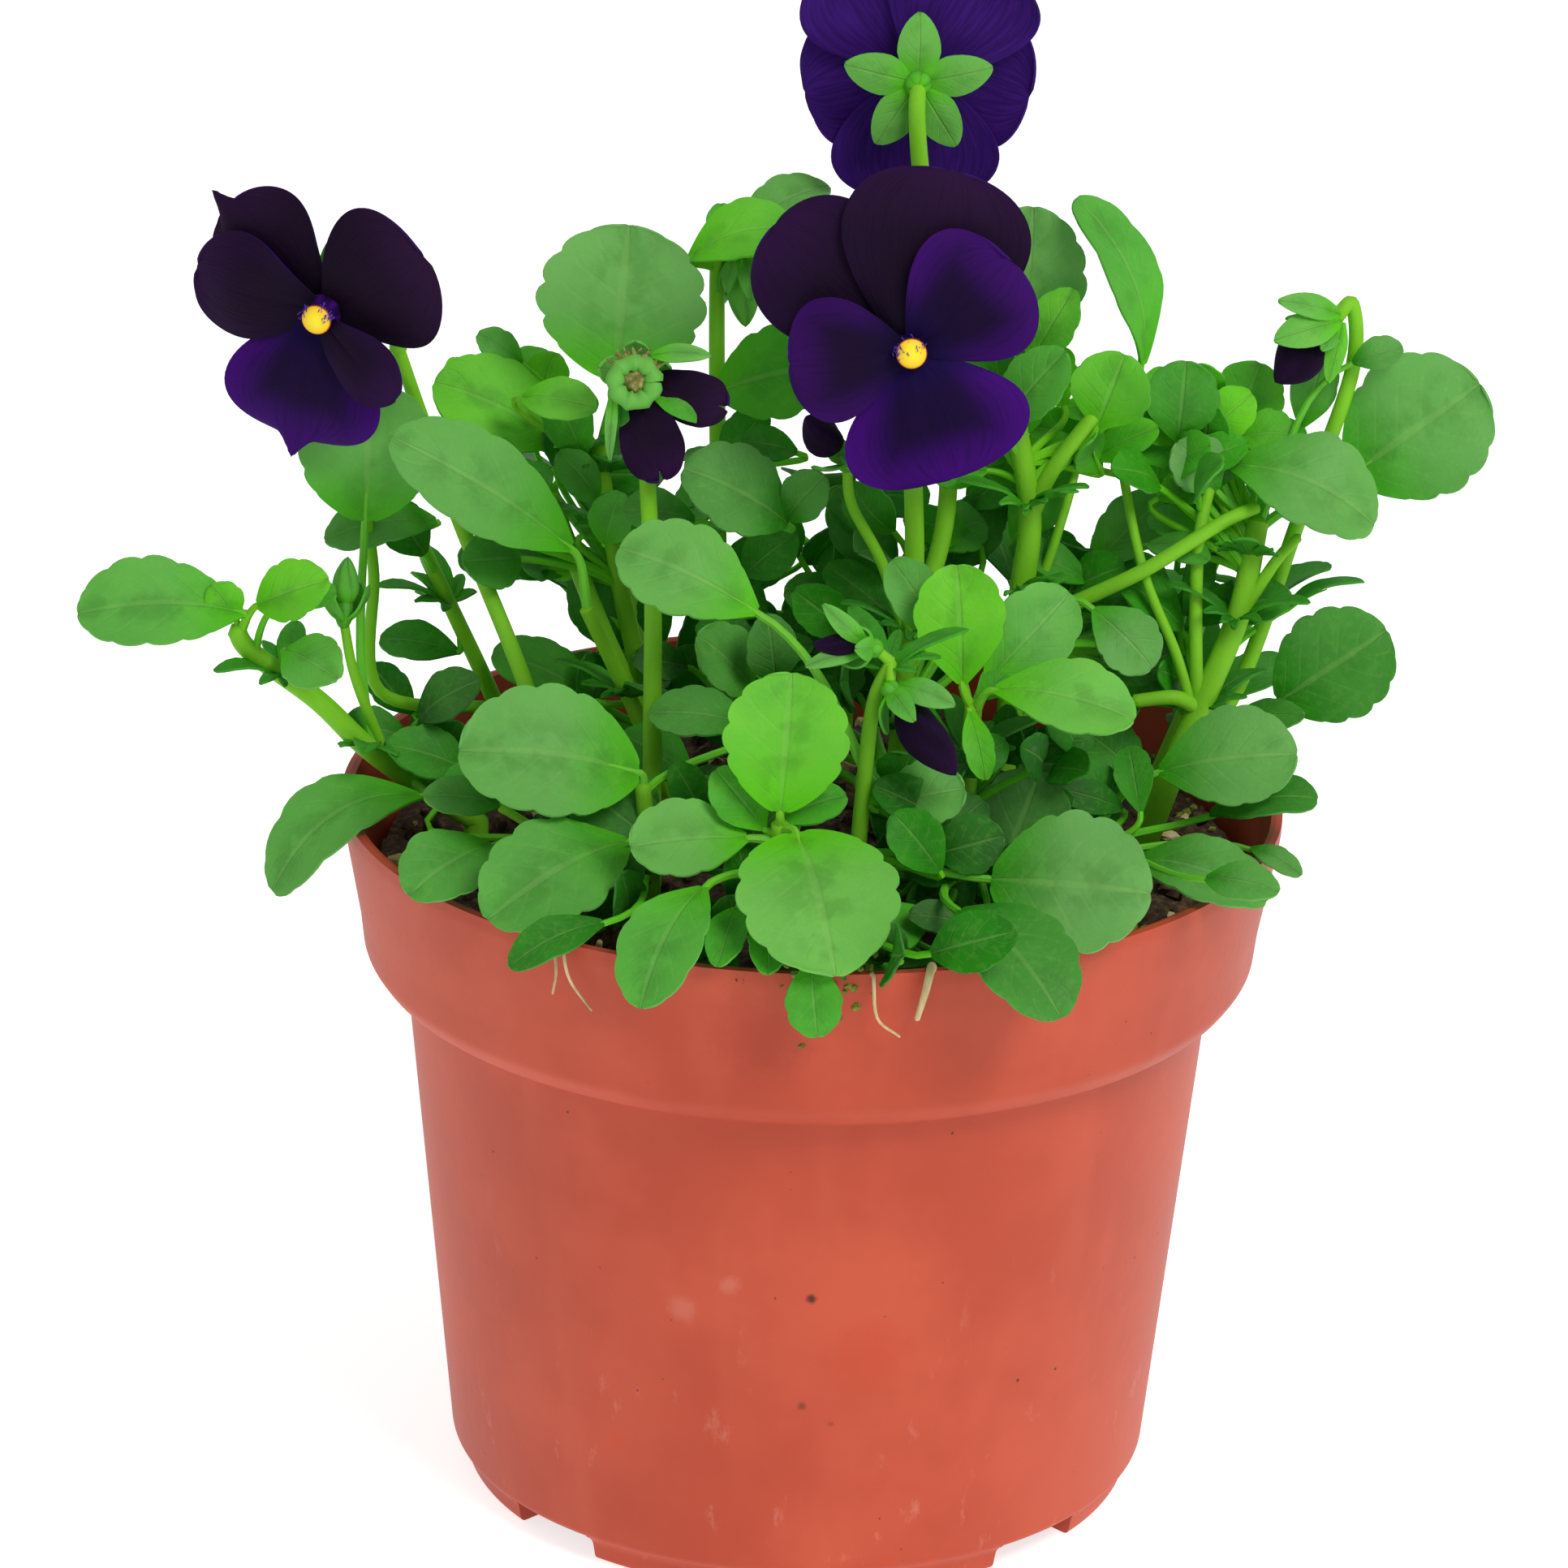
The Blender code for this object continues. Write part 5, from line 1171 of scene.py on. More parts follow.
def pot_group():
    """The pot's moulded plastic, with its faint streaks, stains and specks, and a painted shadow of the
    foliage on the front of its collar.
    """
    wires, out = new_group("pot_look", (("Colour", "Color"), ("Height", "Float"), ("Roughness", "Float")))
    place = wires.add("ShaderNodeNewGeometry").outputs["Position"]
    ragged = wires.noise(0.5 / MM, 4, 0.7)
    cloudy = wires.noise(0.035 / MM, 4, 0.55)
    drag = wires.noise(0.09 / MM, 3, 0.5, (1.0, 1.0, 0.16))
    shown = wires.mix(wires.window(cloudy, 0.35, 0.7), colour(176, 66, 40), colour(192, 80, 54))
    shown = wires.mix(wires.times(wires.window(drag, 0.5, 0.75), 0.25), shown, colour(204, 96, 70))
    low = wires.window(wires.add("ShaderNodeSeparateXYZ", Vector=place).outputs["Z"], 60 * MM, 10 * MM)
    smear = wires.times(wires.window(wires.noise(0.22 / MM, 5, 0.65, (1.0, 1.0, 0.45)), 0.6, 0.72), low)
    shown = wires.mix(wires.times(smear, 0.16), shown, colour(232, 186, 168))
    rust = wires.window(wires.noise(0.13 / MM, 4, 0.6), 0.68, 0.78)
    shown = wires.mix(wires.times(rust, 0.45), shown, colour(204, 62, 22))
    speck = wires.window(wires.noise(0.7 / MM, 2, 0.5), 0.76, 0.8)
    shown = wires.mix(speck, shown, colour(84, 40, 26))
    # The marks, and the painted shadow on the collar.
    for centre, low, high, share, shade in POT_MARKS_AND_SHADOW:
        away = wires.add("ShaderNodeVectorMath", {"operation": "DISTANCE"}, Vector=place).outputs["Value"]
        away.node.inputs[1].default_value = Vector(centre) * MM
        torn = wires.math("ADD", away, wires.times(wires.without(ragged, 0.5), high * MM))
        mark = wires.times(wires.window(torn, high * MM, low * MM), share)
        shown = wires.mix(mark, shown, colour(*shade))
    relief = wires.math("ADD", wires.noise(0.5 / MM, 4, 0.6), wires.times(drag, 0.5))
    rough = wires.math("ADD", 0.4, wires.times(cloudy, 0.22))
    wires.give(out, Colour=shown, Height=relief, Roughness=rough)
    return wires.tree


def grain_group():
    """The grain of whatever is crumbly, husky or dry, as fine and as drawn out as its inputs say."""
    given = ("Fineness", "Detail", "Roughness")
    kinds = [*((name, "Float") for name in given), ("Stretch", "Vector")]
    wires, out = new_group("grain", (("Grain", "Float"),), kinds)
    values = wires.add("NodeGroupInput").outputs
    wires.give(out, Grain=wires.noise(*(values[name] for name, _ in kinds)))
    return wires.tree


def make_materials():
    made = {}

    made["leaf"], wires, shader, look = new_material("leaf_green_skin", leaf_group())
    wires.give(shader, Base_Color=look.outputs["Colour"], Roughness=look.outputs["Roughness"])
    wires.give(shader, Specular_IOR_Level=0.2)
    bump(wires, shader, look.outputs["Height"], 0.22)
    let_light_through(wires, shader, colour(104, 196, 32), 0.32)

    made["petal"], wires, shader, look = new_material("petal_velvet", petal_group())
    wires.give(shader, Base_Color=look.outputs["Colour"], Roughness=0.7, Specular_IOR_Level=0.1)
    wires.give(shader, Sheen_Weight=0.06, Sheen_Roughness=0.4, Sheen_Tint=colour(190, 150, 210))
    bump(wires, shader, look.outputs["Height"], 0.1)
    let_light_through(wires, shader, colour(62, 8, 120), 0.06)

    made["pot"], wires, shader, look = new_material("pot_plastic", pot_group())
    wires.give(shader, Base_Color=look.outputs["Colour"], Roughness=look.outputs["Roughness"])
    wires.give(shader, Specular_IOR_Level=0.28)
    bump(wires, shader, look.outputs["Height"], 0.05)

    made["eye"], wires, shader, _ = new_material("eye_gold")
    shades = (0.48, 70, 8, 12), (0.55, 170, 60, 6), (0.62, 244, 196, 6), (1.0, 250, 232, 30)
    wires.give(shader, Base_Color=wires.ramp(wires.mark("along"), *shades), Roughness=0.6)

    for name, shade in (("hair_blue", (74, 44, 170)), ("perlite_white", (226, 228, 230))):
        made[name], wires, shader, _ = new_material(name)
        wires.give(shader, Base_Color=colour(*shade), Roughness=0.8)

    # The grained finishes: the grain's waves to the millimetre, detail, roughness and stretch, its shades
    # with the share at which each is purest, and how rough and how deep the surface is.
    grain = grain_group()
    even = (1, 1, 1)
    for key, name, fineness, detail, harshness, stretch, shades, roughness, relief in (
        (
            "soil", "mix_dark", 0.7, 5, 0.65, even,
            ((0.3, 30, 20, 14), (0.5, 66, 46, 32), (0.72, 122, 92, 64)), 0.95, 0.5,
        ),
        (
            "moss", "moss_green", 0.9, 4, 0.6, even,
            ((0.3, 44, 66, 14), (0.5, 98, 122, 30), (0.72, 160, 168, 60)), 0.9, 0,
        ),
        (
            "pod", "calyx_brown", 0.8, 4, 0.6, even,
            ((0.35, 70, 74, 26), (0.5, 120, 118, 52), (0.66, 176, 178, 104)), 0.8, 0,
        ),
        (
            "straw", "straw_dry", 0.5, 4, 0.6, (1, 1, 0.3),
            ((0.3, 150, 124, 78), (0.55, 206, 186, 138), (0.75, 232, 220, 186)), 0.8, 0.15,
        ),
    ):
        made[key], wires, shader, look = new_material(name, grain)
        wires.give(look, Fineness=fineness / MM, Detail=detail, Roughness=harshness, Stretch=stretch)
        wires.give(shader, Base_Color=wires.ramp(look.outputs["Grain"], *shades), Roughness=roughness)
        if relief:
            bump(wires, shader, look.outputs["Grain"], relief)
    return made


# ---------------------------------------------------------------- pot and potting mix


def pot_outside():
    """(radius, height) down the outer side, from the rim to the middle of the base."""
    collar = POT_HEIGHT - COLLAR_HEIGHT
    return [
        (RIM_RADIUS, POT_HEIGHT),
        (RIM_RADIUS, POT_HEIGHT - 1.6),
        (COLLAR_FOOT_RADIUS + 0.5, collar + 5),
        (COLLAR_FOOT_RADIUS, collar + 0.5),
        (COLLAR_FOOT_RADIUS - 1.5, collar - 1.7),
        (BODY_RADIUS, collar - 2.8),
        (BASE_RADIUS, FOOT_HEIGHT),
        (BASE_RADIUS - 1.4, FOOT_HEIGHT - 1),
        (BASE_RADIUS - 2, 0),
        (0, 0),
    ]


def pot_inside():
    """(radius, height) up the inner side, from the middle of the floor to the rim."""
    collar = POT_HEIGHT - COLLAR_HEIGHT
    return [
        (0, WALL),
        (BASE_RADIUS - WALL - 1.4, WALL),
        (BODY_RADIUS - WALL, collar - 1.6),
        (COLLAR_FOOT_RADIUS - WALL - 1.4, collar + 0.6),
        (COLLAR_FOOT_RADIUS - WALL, collar + 3.5),
        (RIM_RADIUS - WALL, POT_HEIGHT),
    ]


def turned(profile, steps):
    """Points and faces of a profile of (radius, height), turned round the pot's axis."""
    points, faces, rings = [], [], []
    for radius, height in profile:
        if radius == 0:
            rings.append([len(points)] * steps)
            points.append(Vector((0, 0, height)))
            continue
        rings.append(list(range(len(points), len(points) + steps)))
        for k in range(steps):
            turn = 2 * math.pi * k / steps
            points.append(Vector((radius * math.cos(turn), radius * math.sin(turn), height)))
    for lower, upper in zip(rings, rings[1:]):
        for k in range(steps):
            after = (k + 1) % steps
            corners = dict.fromkeys((lower[k], lower[after], upper[after], upper[k]))
            faces.append(tuple(corners))
    return points, faces


def rounded(profile, radius, steps=5):
    """The profile with its corners rounded off, at most this far from each."""
    made = [profile[0]]
    for before, corner, after in zip(profile, profile[1:], profile[2:]):
        before, corner, after = Vector(before), Vector(corner), Vector(after)
        reach = min(radius, (before - corner).length * 0.45, (after - corner).length * 0.45)
        start = corner + (before - corner).normalized() * reach
        end = corner + (after - corner).normalized() * reach
        for i in range(steps + 1):
            t = i / steps
            made.append(tuple((1 - t) ** 2 * start + 2 * t * (1 - t) * corner + t * t * end))
    return made + [profile[-1]]


def build_pot(finish):
    inside = rounded(pot_inside(), INNER_ROUNDING)
    lip = [(RIM_RADIUS - WALL + 0.1, POT_HEIGHT - 0.1), (RIM_RADIUS - WALL / 2, POT_HEIGHT + 0.15)]
    outside = rounded(pot_outside(), OUTER_ROUNDING)
    points, faces = turned(inside[:-1] + lip + outside, FINE_POT_STEPS)
    pot = plain_piece("moulded_pot", points, faces, finish, 30)
    reach = BASE_RADIUS + 5 - DRAIN_INNER_RADIUS
    centre = DRAIN_INNER_RADIUS + reach / 2
    slots = []
    for angle in DRAIN_ANGLES:
        turn = math.radians(angle - 90)
        bpy.ops.mesh.primitive_cube_add(size=MM)
        slot = bpy.context.object
        slot.scale = (reach, DRAIN_WIDTH, 2 * FOOT_HEIGHT)
        slot.location = (centre * math.cos(turn) * MM, centre * math.sin(turn) * MM, 0)
        slot.rotation_euler.z = turn
        cut = pot.modifiers.new(f"drain_{angle}", "BOOLEAN")
        cut.object = slot
        slots.append(slot)
    graph = bpy.context.evaluated_depsgraph_get()
    finished = bpy.data.meshes.new_from_object(pot.evaluated_get(graph))
    pot.modifiers.clear()
    pot.data = finished
    for slot in slots:
        bpy.data.objects.remove(slot)
    finished.shade_smooth()
    finished.set_sharp_from_angle(angle=math.radians(30))
    dress(pot, "terracotta_plastic", "pot")


def soil_height(x, y):
    """The mix's uneven surface, a little lower round its edge."""
    waves = math.sin(0.21 * x + 1) * math.cos(0.17 * y) + 0.5 * math.sin(0.37 * y - 0.29 * x)
    return SOIL_TOP + SOIL_BUMP * waves - 2 * (math.hypot(x, y) / RIM_RADIUS) ** 4


def soil_outline():
    """(radius, height) of the potting mix, from the middle of its top to the middle of its foot."""
    profile = [(r - 2 * GAP, z + GAP) for r, z in pot_inside()[1:5]]
    profile = [(0, WALL + GAP), *profile, (SOIL_EDGE, SOIL_TOP - 1.5)]
    profile += [(SOIL_EDGE * 0.75, SOIL_TOP), (SOIL_EDGE * 0.42, SOIL_TOP), (0, SOIL_TOP)]
    return profile[::-1]


def soil_guard():
    """The plain top and sides of the mix, which leaves keep clear of."""
    points, faces = turned(soil_outline(), SOIL_STEPS)
    for point in points:
        if point.z > SOIL_TOP - 2:
            point.z = soil_height(point.x, point.y)
        point.z += CLEARANCE
    return points, faces


def pot_guard():
    """The rim and wall that leaves keep clear of."""
    inner = [(r - CLEARANCE, z) for r, z in pot_inside()[2:]]
    outer = [(r + CLEARANCE, z) for r, z in pot_outside()[:7]]
    return turned(inner + [(RIM_RADIUS - WALL / 2, POT_HEIGHT + CLEARANCE)] + outer, POT_STEPS)


def chunk(growth, centre, size, rng, sides=6):
    """A rough crumb, as a squashed and turned ball of few faces."""
    spin = rng.uniform(0, 2 * math.pi)
    turn = Matrix.Rotation(spin, 3, Vector((rng.gauss(0, 1), rng.gauss(0, 1), rng.gauss(0, 1))))
    stretch = Vector((rng.uniform(0.6, 1.3), rng.uniform(0.6, 1.1), rng.uniform(0.45, 0.9)))
    points = [Vector((0, 0, -1))]
    for latitude in (-0.5, 0.5):
        for k in range(sides):
            angle = 2 * math.pi * (k + latitude) / sides
            points.append(Vector((math.cos(angle), math.sin(angle), latitude)) * rng.uniform(0.8, 1.15))
    points.append(Vector((0, 0, 1)))
    points = [centre + turn @ (point * stretch) * size / 2 for point in points]
    faces = []
    for k in range(sides):
        after = (k + 1) % sides
        faces.append((0, 1 + after, 1 + k))
        faces.append((1 + k, 1 + after, 1 + sides + after, 1 + sides + k))
        faces.append((1 + sides + k, 1 + sides + after, len(points) - 1))
    growth.add(points, faces, [(0, 0, 0, 0)] * len(points))


def build_mix(finish):
    """The mix's body, with a rough top."""
    top = [(SOIL_EDGE * i / FINE_SOIL_RINGS, SOIL_TOP) for i in range(FINE_SOIL_RINGS + 1)]
    points, faces = turned(top + soil_outline()[4:], FINE_SOIL_STEPS)
    for point in points:
        if point.z > SOIL_TOP - 1:
            rough = noise.fractal(point * 0.22, 0.6, 2.2, 5)
            point.z = soil_height(point.x, point.y) + 0.9 * rough
    dress(plain_piece("mix_body", points, faces, finish, 60), "potting_mix", "potting_mix")


def strew_crumbs(draw, looks):
    """Crumbs of the mix, of perlite and of bark, strewn on its top."""
    crumbs, white, bark = Growth(), Growth(), Growth()
    for i in range(CRUMBS):
        radius = SOIL_EDGE * math.sqrt(draw.random()) * 0.985
        turn = draw.uniform(0, 2 * math.pi)
        x, y = radius * math.cos(turn), radius * math.sin(turn)
        size = draw.choice((1.0, 1.3, 1.6, 2.2, 3.2)) * draw.uniform(0.8, 1.2)
        where = Vector((x, y, soil_height(x, y) + size * 0.2))
        kind = white if i % PERLITE_EACH == 0 else bark if i % BARK_EACH == 0 else crumbs
        chunk(kind, where, size, draw)
    crumbs.piece("mix_crumbs", looks["soil"], "potting_mix")
    white.piece("mix_perlite", looks["perlite_white"], "potting_mix")
    bark.piece("mix_bark_crumbs", looks["straw"], "potting_mix")


def grow_moss(draw, finish):
    """Moss in clumps round the edge of the mix, and a tuft of it over the front of the rim."""
    moss = Growth()
    for heading, count, spread in MOSS_CLUMPS:
        for _ in range(count):
            turn = math.radians(heading + draw.gauss(0, spread))
            radius = SOIL_EDGE - abs(draw.gauss(0, 2.2))
            x, y = radius * math.cos(turn), radius * math.sin(turn)
            fade = math.exp(-(((math.degrees(turn) - heading) / spread) ** 2) / 2)
            lift = draw.random() * max(0, 6.5 - 0.6 * (SOIL_EDGE - radius)) * fade
            chunk(moss, Vector((x, y, soil_height(x, y) + lift)), draw.uniform(0.7, 1.7), draw, 5)
    for _ in range(TUFT_CRUMBS):
        x, fall = draw.gauss(1.5, 2.6), abs(draw.gauss(0, 0.42))
        radius = RIM_RADIUS + 0.5 - max(0, 1 - 2 * fall) * draw.uniform(0, 5) - 0.19 * 8 * fall
        height = POT_HEIGHT + 1.2 * (1 - fall) - 8 * max(0, fall - 0.25)
        chunk(moss, Vector((x, -math.sqrt(radius**2 - x * x), height)), draw.uniform(0.7, 1.6), draw, 5)
    moss.piece("rim_moss", finish, "potting_mix")


def lay_straw(finish):
    """The dry stem with its knotty bark, and the dry roots."""
    stem, roots = Growth(), Growth()
    path = stem_path(DRY_STEM, 8)
    radii = [r * (1 + 0.08 * math.sin(2.1 * i)) for i, r in enumerate(taper(path, DRY_STEM_WIDTH))]
    stem.rod(path, radii, 14, 0, 0)
    stem.piece("dry_stem_bark", finish, "dry_straw", "dry_stem")
    for points in DRY_ROOTS:
        path = smooth_path(points, 6)
        thick = 0.7 if points[-1][2] > THICK_ROOT_END else 0.28
        radii = [thick * (1 - 0.5 * i / len(path)) for i in range(len(path))]
        roots.rod(path, radii, 8, 0, 0)
    roots.piece("dry_roots", finish, "dry_straw")


def build_soil(looks):
    """The potting mix with all that lies on it."""
    build_mix(looks["soil"])
    draw = random.Random(11)
    strew_crumbs(draw, looks)
    grow_moss(draw, looks["moss"])
    lay_straw(looks["straw"])


# ---------------------------------------------------------------- the plant


def stem_path(points, steps=2):
    """The stem's points from the soil up, with a straight root below."""
    points = smooth_path(points, steps)
    return [points[0] - UP * ROOT_DEPTH] + points


def taper(path, thick, end=0.75):
    """The radius at each point of a stem that thins to this share of its thickness."""
    last = len(path) - 1
    return [thick / 2 * (1 - (1 - end) * i / last) for i in range(last + 1)]


# How a fine leaf is cut, by the width from which this holds: its lobes on each side, the rows of points in
# each lobe and below the first, and the columns on each side of the midrib.
LEAF_CUTS = ((13, 5, 6, 12, 6), (7.5, 4, 5, 9, 5), (0, 3, 4, 7, 3))


def leaf_form(blade, rng):
    """How finely a leaf is modelled, how its margin is cut and how its blade bends, by its width."""
    width = blade.width
    lobes, per, bare, columns = next(cut for least, *cut in LEAF_CUTS if width >= least)
    return {
        "rows": bare + lobes * per,
        "bare": bare / (bare + lobes * per),
        "lobes": lobes,
        "columns": [i / columns for i in range(-columns, columns + 1)],
        "thickness": 0.32,
        "notch": rng.uniform(0.05, 0.09),
        "curl": rng.uniform(1.2, 1.9),
        "ripples": rng.choice((1.5, 2, 2.5)),
        "ruffle": width * rng.uniform(0.015, 0.04),
        "swell": width * 0.008,
        "groove": width * 0.009,
        "quilt": width * 0.004,
        "under": 0.25,
    }


PETAL_FORM = {
    "rows": 34,
    "bare": 0.0,
    "lobes": 0,
    "columns": [i / 9 for i in range(-9, 10)],
    "thickness": 0.35,
    "notch": 0.0,
    "curl": 1.6,
    "ripples": 1.6,
    "ruffle": 0.75,
    "swell": 0.25,
    "groove": 0.3,
    "quilt": 0.0,
    "under": 1.0,
}
SEPAL_FORM = PETAL_FORM | {
    "rows": 14,
    "columns": [i / 4 for i in range(-4, 5)],
    "ruffle": 0.08,
    "swell": 0.05,
    "groove": 0.12,
    "under": 0.0,
}


def grow_leaf(growth, blade, tone, sheen_and_underside, rng):
    """A leaf with its petiole, which runs on under the blade as a midrib."""
    growth.blade(blade, leaf_form(blade, rng), tone, sheen_and_underside, rng)
    thick = PETIOLE_THICKNESS / 2 * min(1, 0.6 + blade.width / 30)
    path, radii = [], []
    if blade.start:
        for i in range(9):
            t = 1 - i / 9
            path.append(blade.petiole_point(t)[0])
            radii.append(thick * (0.72 + 0.28 * t))
    for i in range(5):
        share = 0.02 + 0.13 * i
        path.append(blade.midrib(share) - blade.up * thick * (0.5 + 0.5 * share))
        radii.append(thick * 0.72 * (1 - 0.2 * i))
    growth.rod(path, radii, 7, 0.75 + 0.5 * tone, sheen_and_underside * 0.4)


def grow_stipule(growth, blade, tone, rng):
    """A stipule: a leafy middle lobe with narrow lobes to each side of its foot."""
    sizes = ((0, 1, 0.34), (34, 0.62, 0.17), (-34, 0.6, 0.17), (66, 0.45, 0.14), (-66, 0.42, 0.14))
    for angle, reach, wide in sizes:
        turn = Matrix.Rotation(math.radians(angle + rng.uniform(-6, 6)), 3, blade.up)
        way = turn @ blade.along
        root = blade.root + way * 0.3
        length = blade.length * reach * rng.uniform(0.9, 1.05)
        lobe = Blade(root, root + way * length, blade.length * wide, blade.up - way * 0.1, 0.1, SEPAL)
        form = SEPAL_FORM | {"columns": [-1, -0.5, 0, 0.5, 1], "rows": 9, "ruffle": 0.15}
        growth.blade(lobe, form, tone, 0.1, rng)


def ring_of_blades(centre, axes, entries, outline, cup, side=1):
    """Blades that spread from a flower's middle, by their heading, length, width, stand, lean and arch."""
    facing, right, up = axes
    made = []
    for angle, length, width, stand, lean, arch in entries:
        turn, tilt = math.radians(angle), math.radians(lean)
        out = right * math.cos(turn) + up * math.sin(turn)
        way = out * math.cos(tilt) + facing * math.sin(tilt)
        face = facing * math.cos(tilt) - out * math.sin(tilt)
        root = centre + out * 0.8 + facing * stand
        made.append(Blade(root, root + way * (length - 0.8), width, face * side, arch, outline, cup=cup))
    return made


def branch(bearer, at, points, thick, paths, clear):
    """The fine path of a side stem from this share of its shoot through the points, now kept clear of."""
    start, _ = point_on(paths[bearer][1:], at)
    clear.add(bearer, tube_guard(smooth_path([start, *points], 2)[1:], thick / 2))
    return smooth_path([start, *points], FINE_STEPS)


def grow_stalk(stalk, end, stems, paths, clear):
    """The stalk of a bloom or bud, from its shoot to this end."""
    bearer, at, points, thick = stalk
    fine = branch(bearer, at, [*points, end], thick, paths, clear)
    stems[bearer].rod(fine, taper(fine, thick * FINE_STALK, 0.85), 12, STEM_TONE, STEM_SHEEN, tip=False)


def petal_zone(angle):
    """0 for an upper petal, 1 for the lowest, and between them a side petal's."""
    low = -math.sin(math.radians(angle))
    return min(1, max(0, 0.62 + 0.6 * low))


def grow_eye(name, centre, axes, looks):
    """The bloom's yellow throat with its dark rim, and tufts of hairs above it at both sides."""
    facing, right, up = axes
    eye, hairs = Growth(), Growth()
    eye.spindle(centre + facing * 1.7, centre + facing * 3.1, 3.9, 0, 0, rings=14, sides=24)
    eye.piece(f"{name}_throat", looks["eye"], "eye_yellow", f"{name}_eye")
    draw = random.Random(name)
    for _ in range(HAIRS):
        angle = math.radians(draw.choice((38, 142)) + draw.gauss(0, 22))
        out = right * math.cos(angle) + up * math.sin(angle)
        root = centre + out * draw.uniform(1.0, 2.3) + facing * draw.uniform(1.5, 2.2)
        way = facing * draw.uniform(0.7, 1.2) - out * draw.uniform(0.0, 0.7) + right * draw.gauss(0, 0.25)
        way.normalize()
        length = draw.uniform(0.7, 1.4)
        path = [root, root + way * length * 0.5, root + way * length - up * 0.12]
        hairs.rod(path, (0.09, 0.08, 0.05), 5, 0, 0)
    hairs.piece(f"{name}_hairs", looks["hair_blue"], "petal_violet")


def grow_pod(name, centre, axes, growth, looks):
    """What a withered bloom leaves: its calyx's pale ring round a brown pod, with a frayed brown edge."""
    facing, right, up = axes
    middle = centre + facing * 2.6
    steps = 24
    ring, radii = [], []
    for k in range(steps + 1):
        turn = 2 * math.pi * k / steps
        out = right * math.cos(turn) + up * math.sin(turn)
        ring.append(middle + out * 2.4 - facing * 0.3 * math.sin(turn))
        radii.append(1.15 + 0.2 * math.sin(2.3 * k))
    growth.rod(ring, radii, 12, 0.8, 0.55, tip=False)
    pod = Growth()
    pod.spindle(middle - facing * 1.2, middle + facing * 0.9, 3.6, 0, 0, rings=8, sides=16, folds=0.2)
    draw = random.Random(name)
    for _ in range(FRAYS):
        turn = math.radians(draw.gauss(95, 28))
        out = right * math.cos(turn) + up * math.sin(turn)
        root = middle + out * 3.1
        way = (out + facing * draw.uniform(0, 0.8) + right * draw.gauss(0, 0.5)).normalized()
        end = root + way * draw.uniform(0.8, 1.8)
        pod.rod([root, root.lerp(end, 0.5), end], (0.3, 0.22, 0.1), 6, 0, 0)
    pod.piece(f"{name}_pod", looks["pod"], "dry_straw")


def grow_bloom(name, bloom, stems, paths, clear, looks):
    """A bloom's petals with its throat or pod, and on its shoot the calyx, the sepals and the stalk."""
    centre = Vector(bloom["centre"])
    axes = facing, _, _ = axes_facing(bloom["facing"], bloom["roll"])
    draw = random.Random(name)
    withered = len(bloom["petals"]) < FULL_BLOOM
    bearer = bloom["stalk"][0]
    growth = stems[bearer]
    petals = Growth()
    petals.spindle(centre - facing * 2.2, centre + facing * 1.4, 4.6, 1, 0, rings=8, sides=14)
    for entry, blade in zip(bloom["petals"], ring_of_blades(centre, axes, bloom["petals"], PETAL, -0.08)):
        clear.add(f"{name}_petals", blade.guard())
        form = PETAL_FORM
        if withered:
            form = form | {"ruffle": 0.8, "ripples": 2.2, "curl": 2.0, "cleft": 0.12}
        if entry in POINTED_PETALS:
            form = form | {"cleft": -0.17}
        zone = PETAL_TONES.get(name, {}).get(entry[0], petal_zone(entry[0] + bloom["roll"]))
        petals.blade(blade, form, zone, 0, draw)
    petals.piece(f"{name}_corolla", looks["petal"], "petal_violet", f"{name}_petals")
    if withered:
        grow_pod(name, centre, axes, growth, looks)
    else:
        grow_eye(name, centre, axes, looks)
    back = centre - facing * (2.2 + GAP)
    growth.spindle(back - facing * 3.4, back, 3.4, 0.7, 0.4)
    length, width, lean = bloom["sepals"]
    entries = [(angle, length, width, 0, -lean, 0.05) for angle in SEPAL_ANGLES]
    outline = SEPAL if width > 5 else SLIM
    for blade in ring_of_blades(back - facing * 1.7, axes, entries, outline, -0.1, side=-1):
        clear.add(bearer, blade.guard())
        growth.blade(blade, SEPAL_FORM, 0.75, 0.55, draw)
    grow_stalk(bloom["stalk"], back - facing * 2.4, stems, paths, clear)


def grow_bud(name, bud, stems, paths, clear, looks):
    """A bud's violet tip where it shows one, and on its shoot the green cup, the sepals and the stalk."""
    root, tip, width, violet, stalk = bud
    root, tip = Vector(root), Vector(tip)
    along = (tip - root).normalized()
    bearer = stalk[0]
    growth = stems[bearer]
    draw = random.Random(name)
    if violet:
        petals = Growth()
        petals.spindle(root, tip, width, 0.04, 0.02, rings=22, sides=26, folds=0.22, twist=4.0)
        petals.piece(f"{name}_corolla", looks["petal"], "petal_violet", f"{name}_petals")
        clear.add(f"{name}_petals", tube_guard([root, tip], width / 2))
    cup = root - along * (GAP if violet else -0.4 * (tip - root).length)
    growth.spindle(root - along * 3.2, cup, 2.4, 0.7, 0.3)
    if not violet:
        growth.spindle(root, tip, width, 0.75, 0.35, rings=16, sides=20, folds=0.14, twist=2.0)
    side = along.orthogonal().normalized()
    for k, heading in enumerate((60, 180, 300) if violet else (60, 180, 300, 0, 120)):
        out = Matrix.Rotation(math.radians(heading), 3, along) @ side
        foot = root - along * 1.8 + out * 0.4
        end = root + along * (tip - root).length * (0.22 if violet else 0.5) + out * (width / 2 + 1.2)
        if k > 2:
            end = foot.lerp(end, 0.85)
        blade = Blade(foot, end, 3, out, 0.12, SLIM, cup=-0.1)
        growth.blade(blade, SEPAL_FORM, 0.7, 0.35, draw)
        if k < 3:
            clear.add(bearer, blade.guard())
    grow_stalk(stalk, root - along * 2, stems, paths, clear)


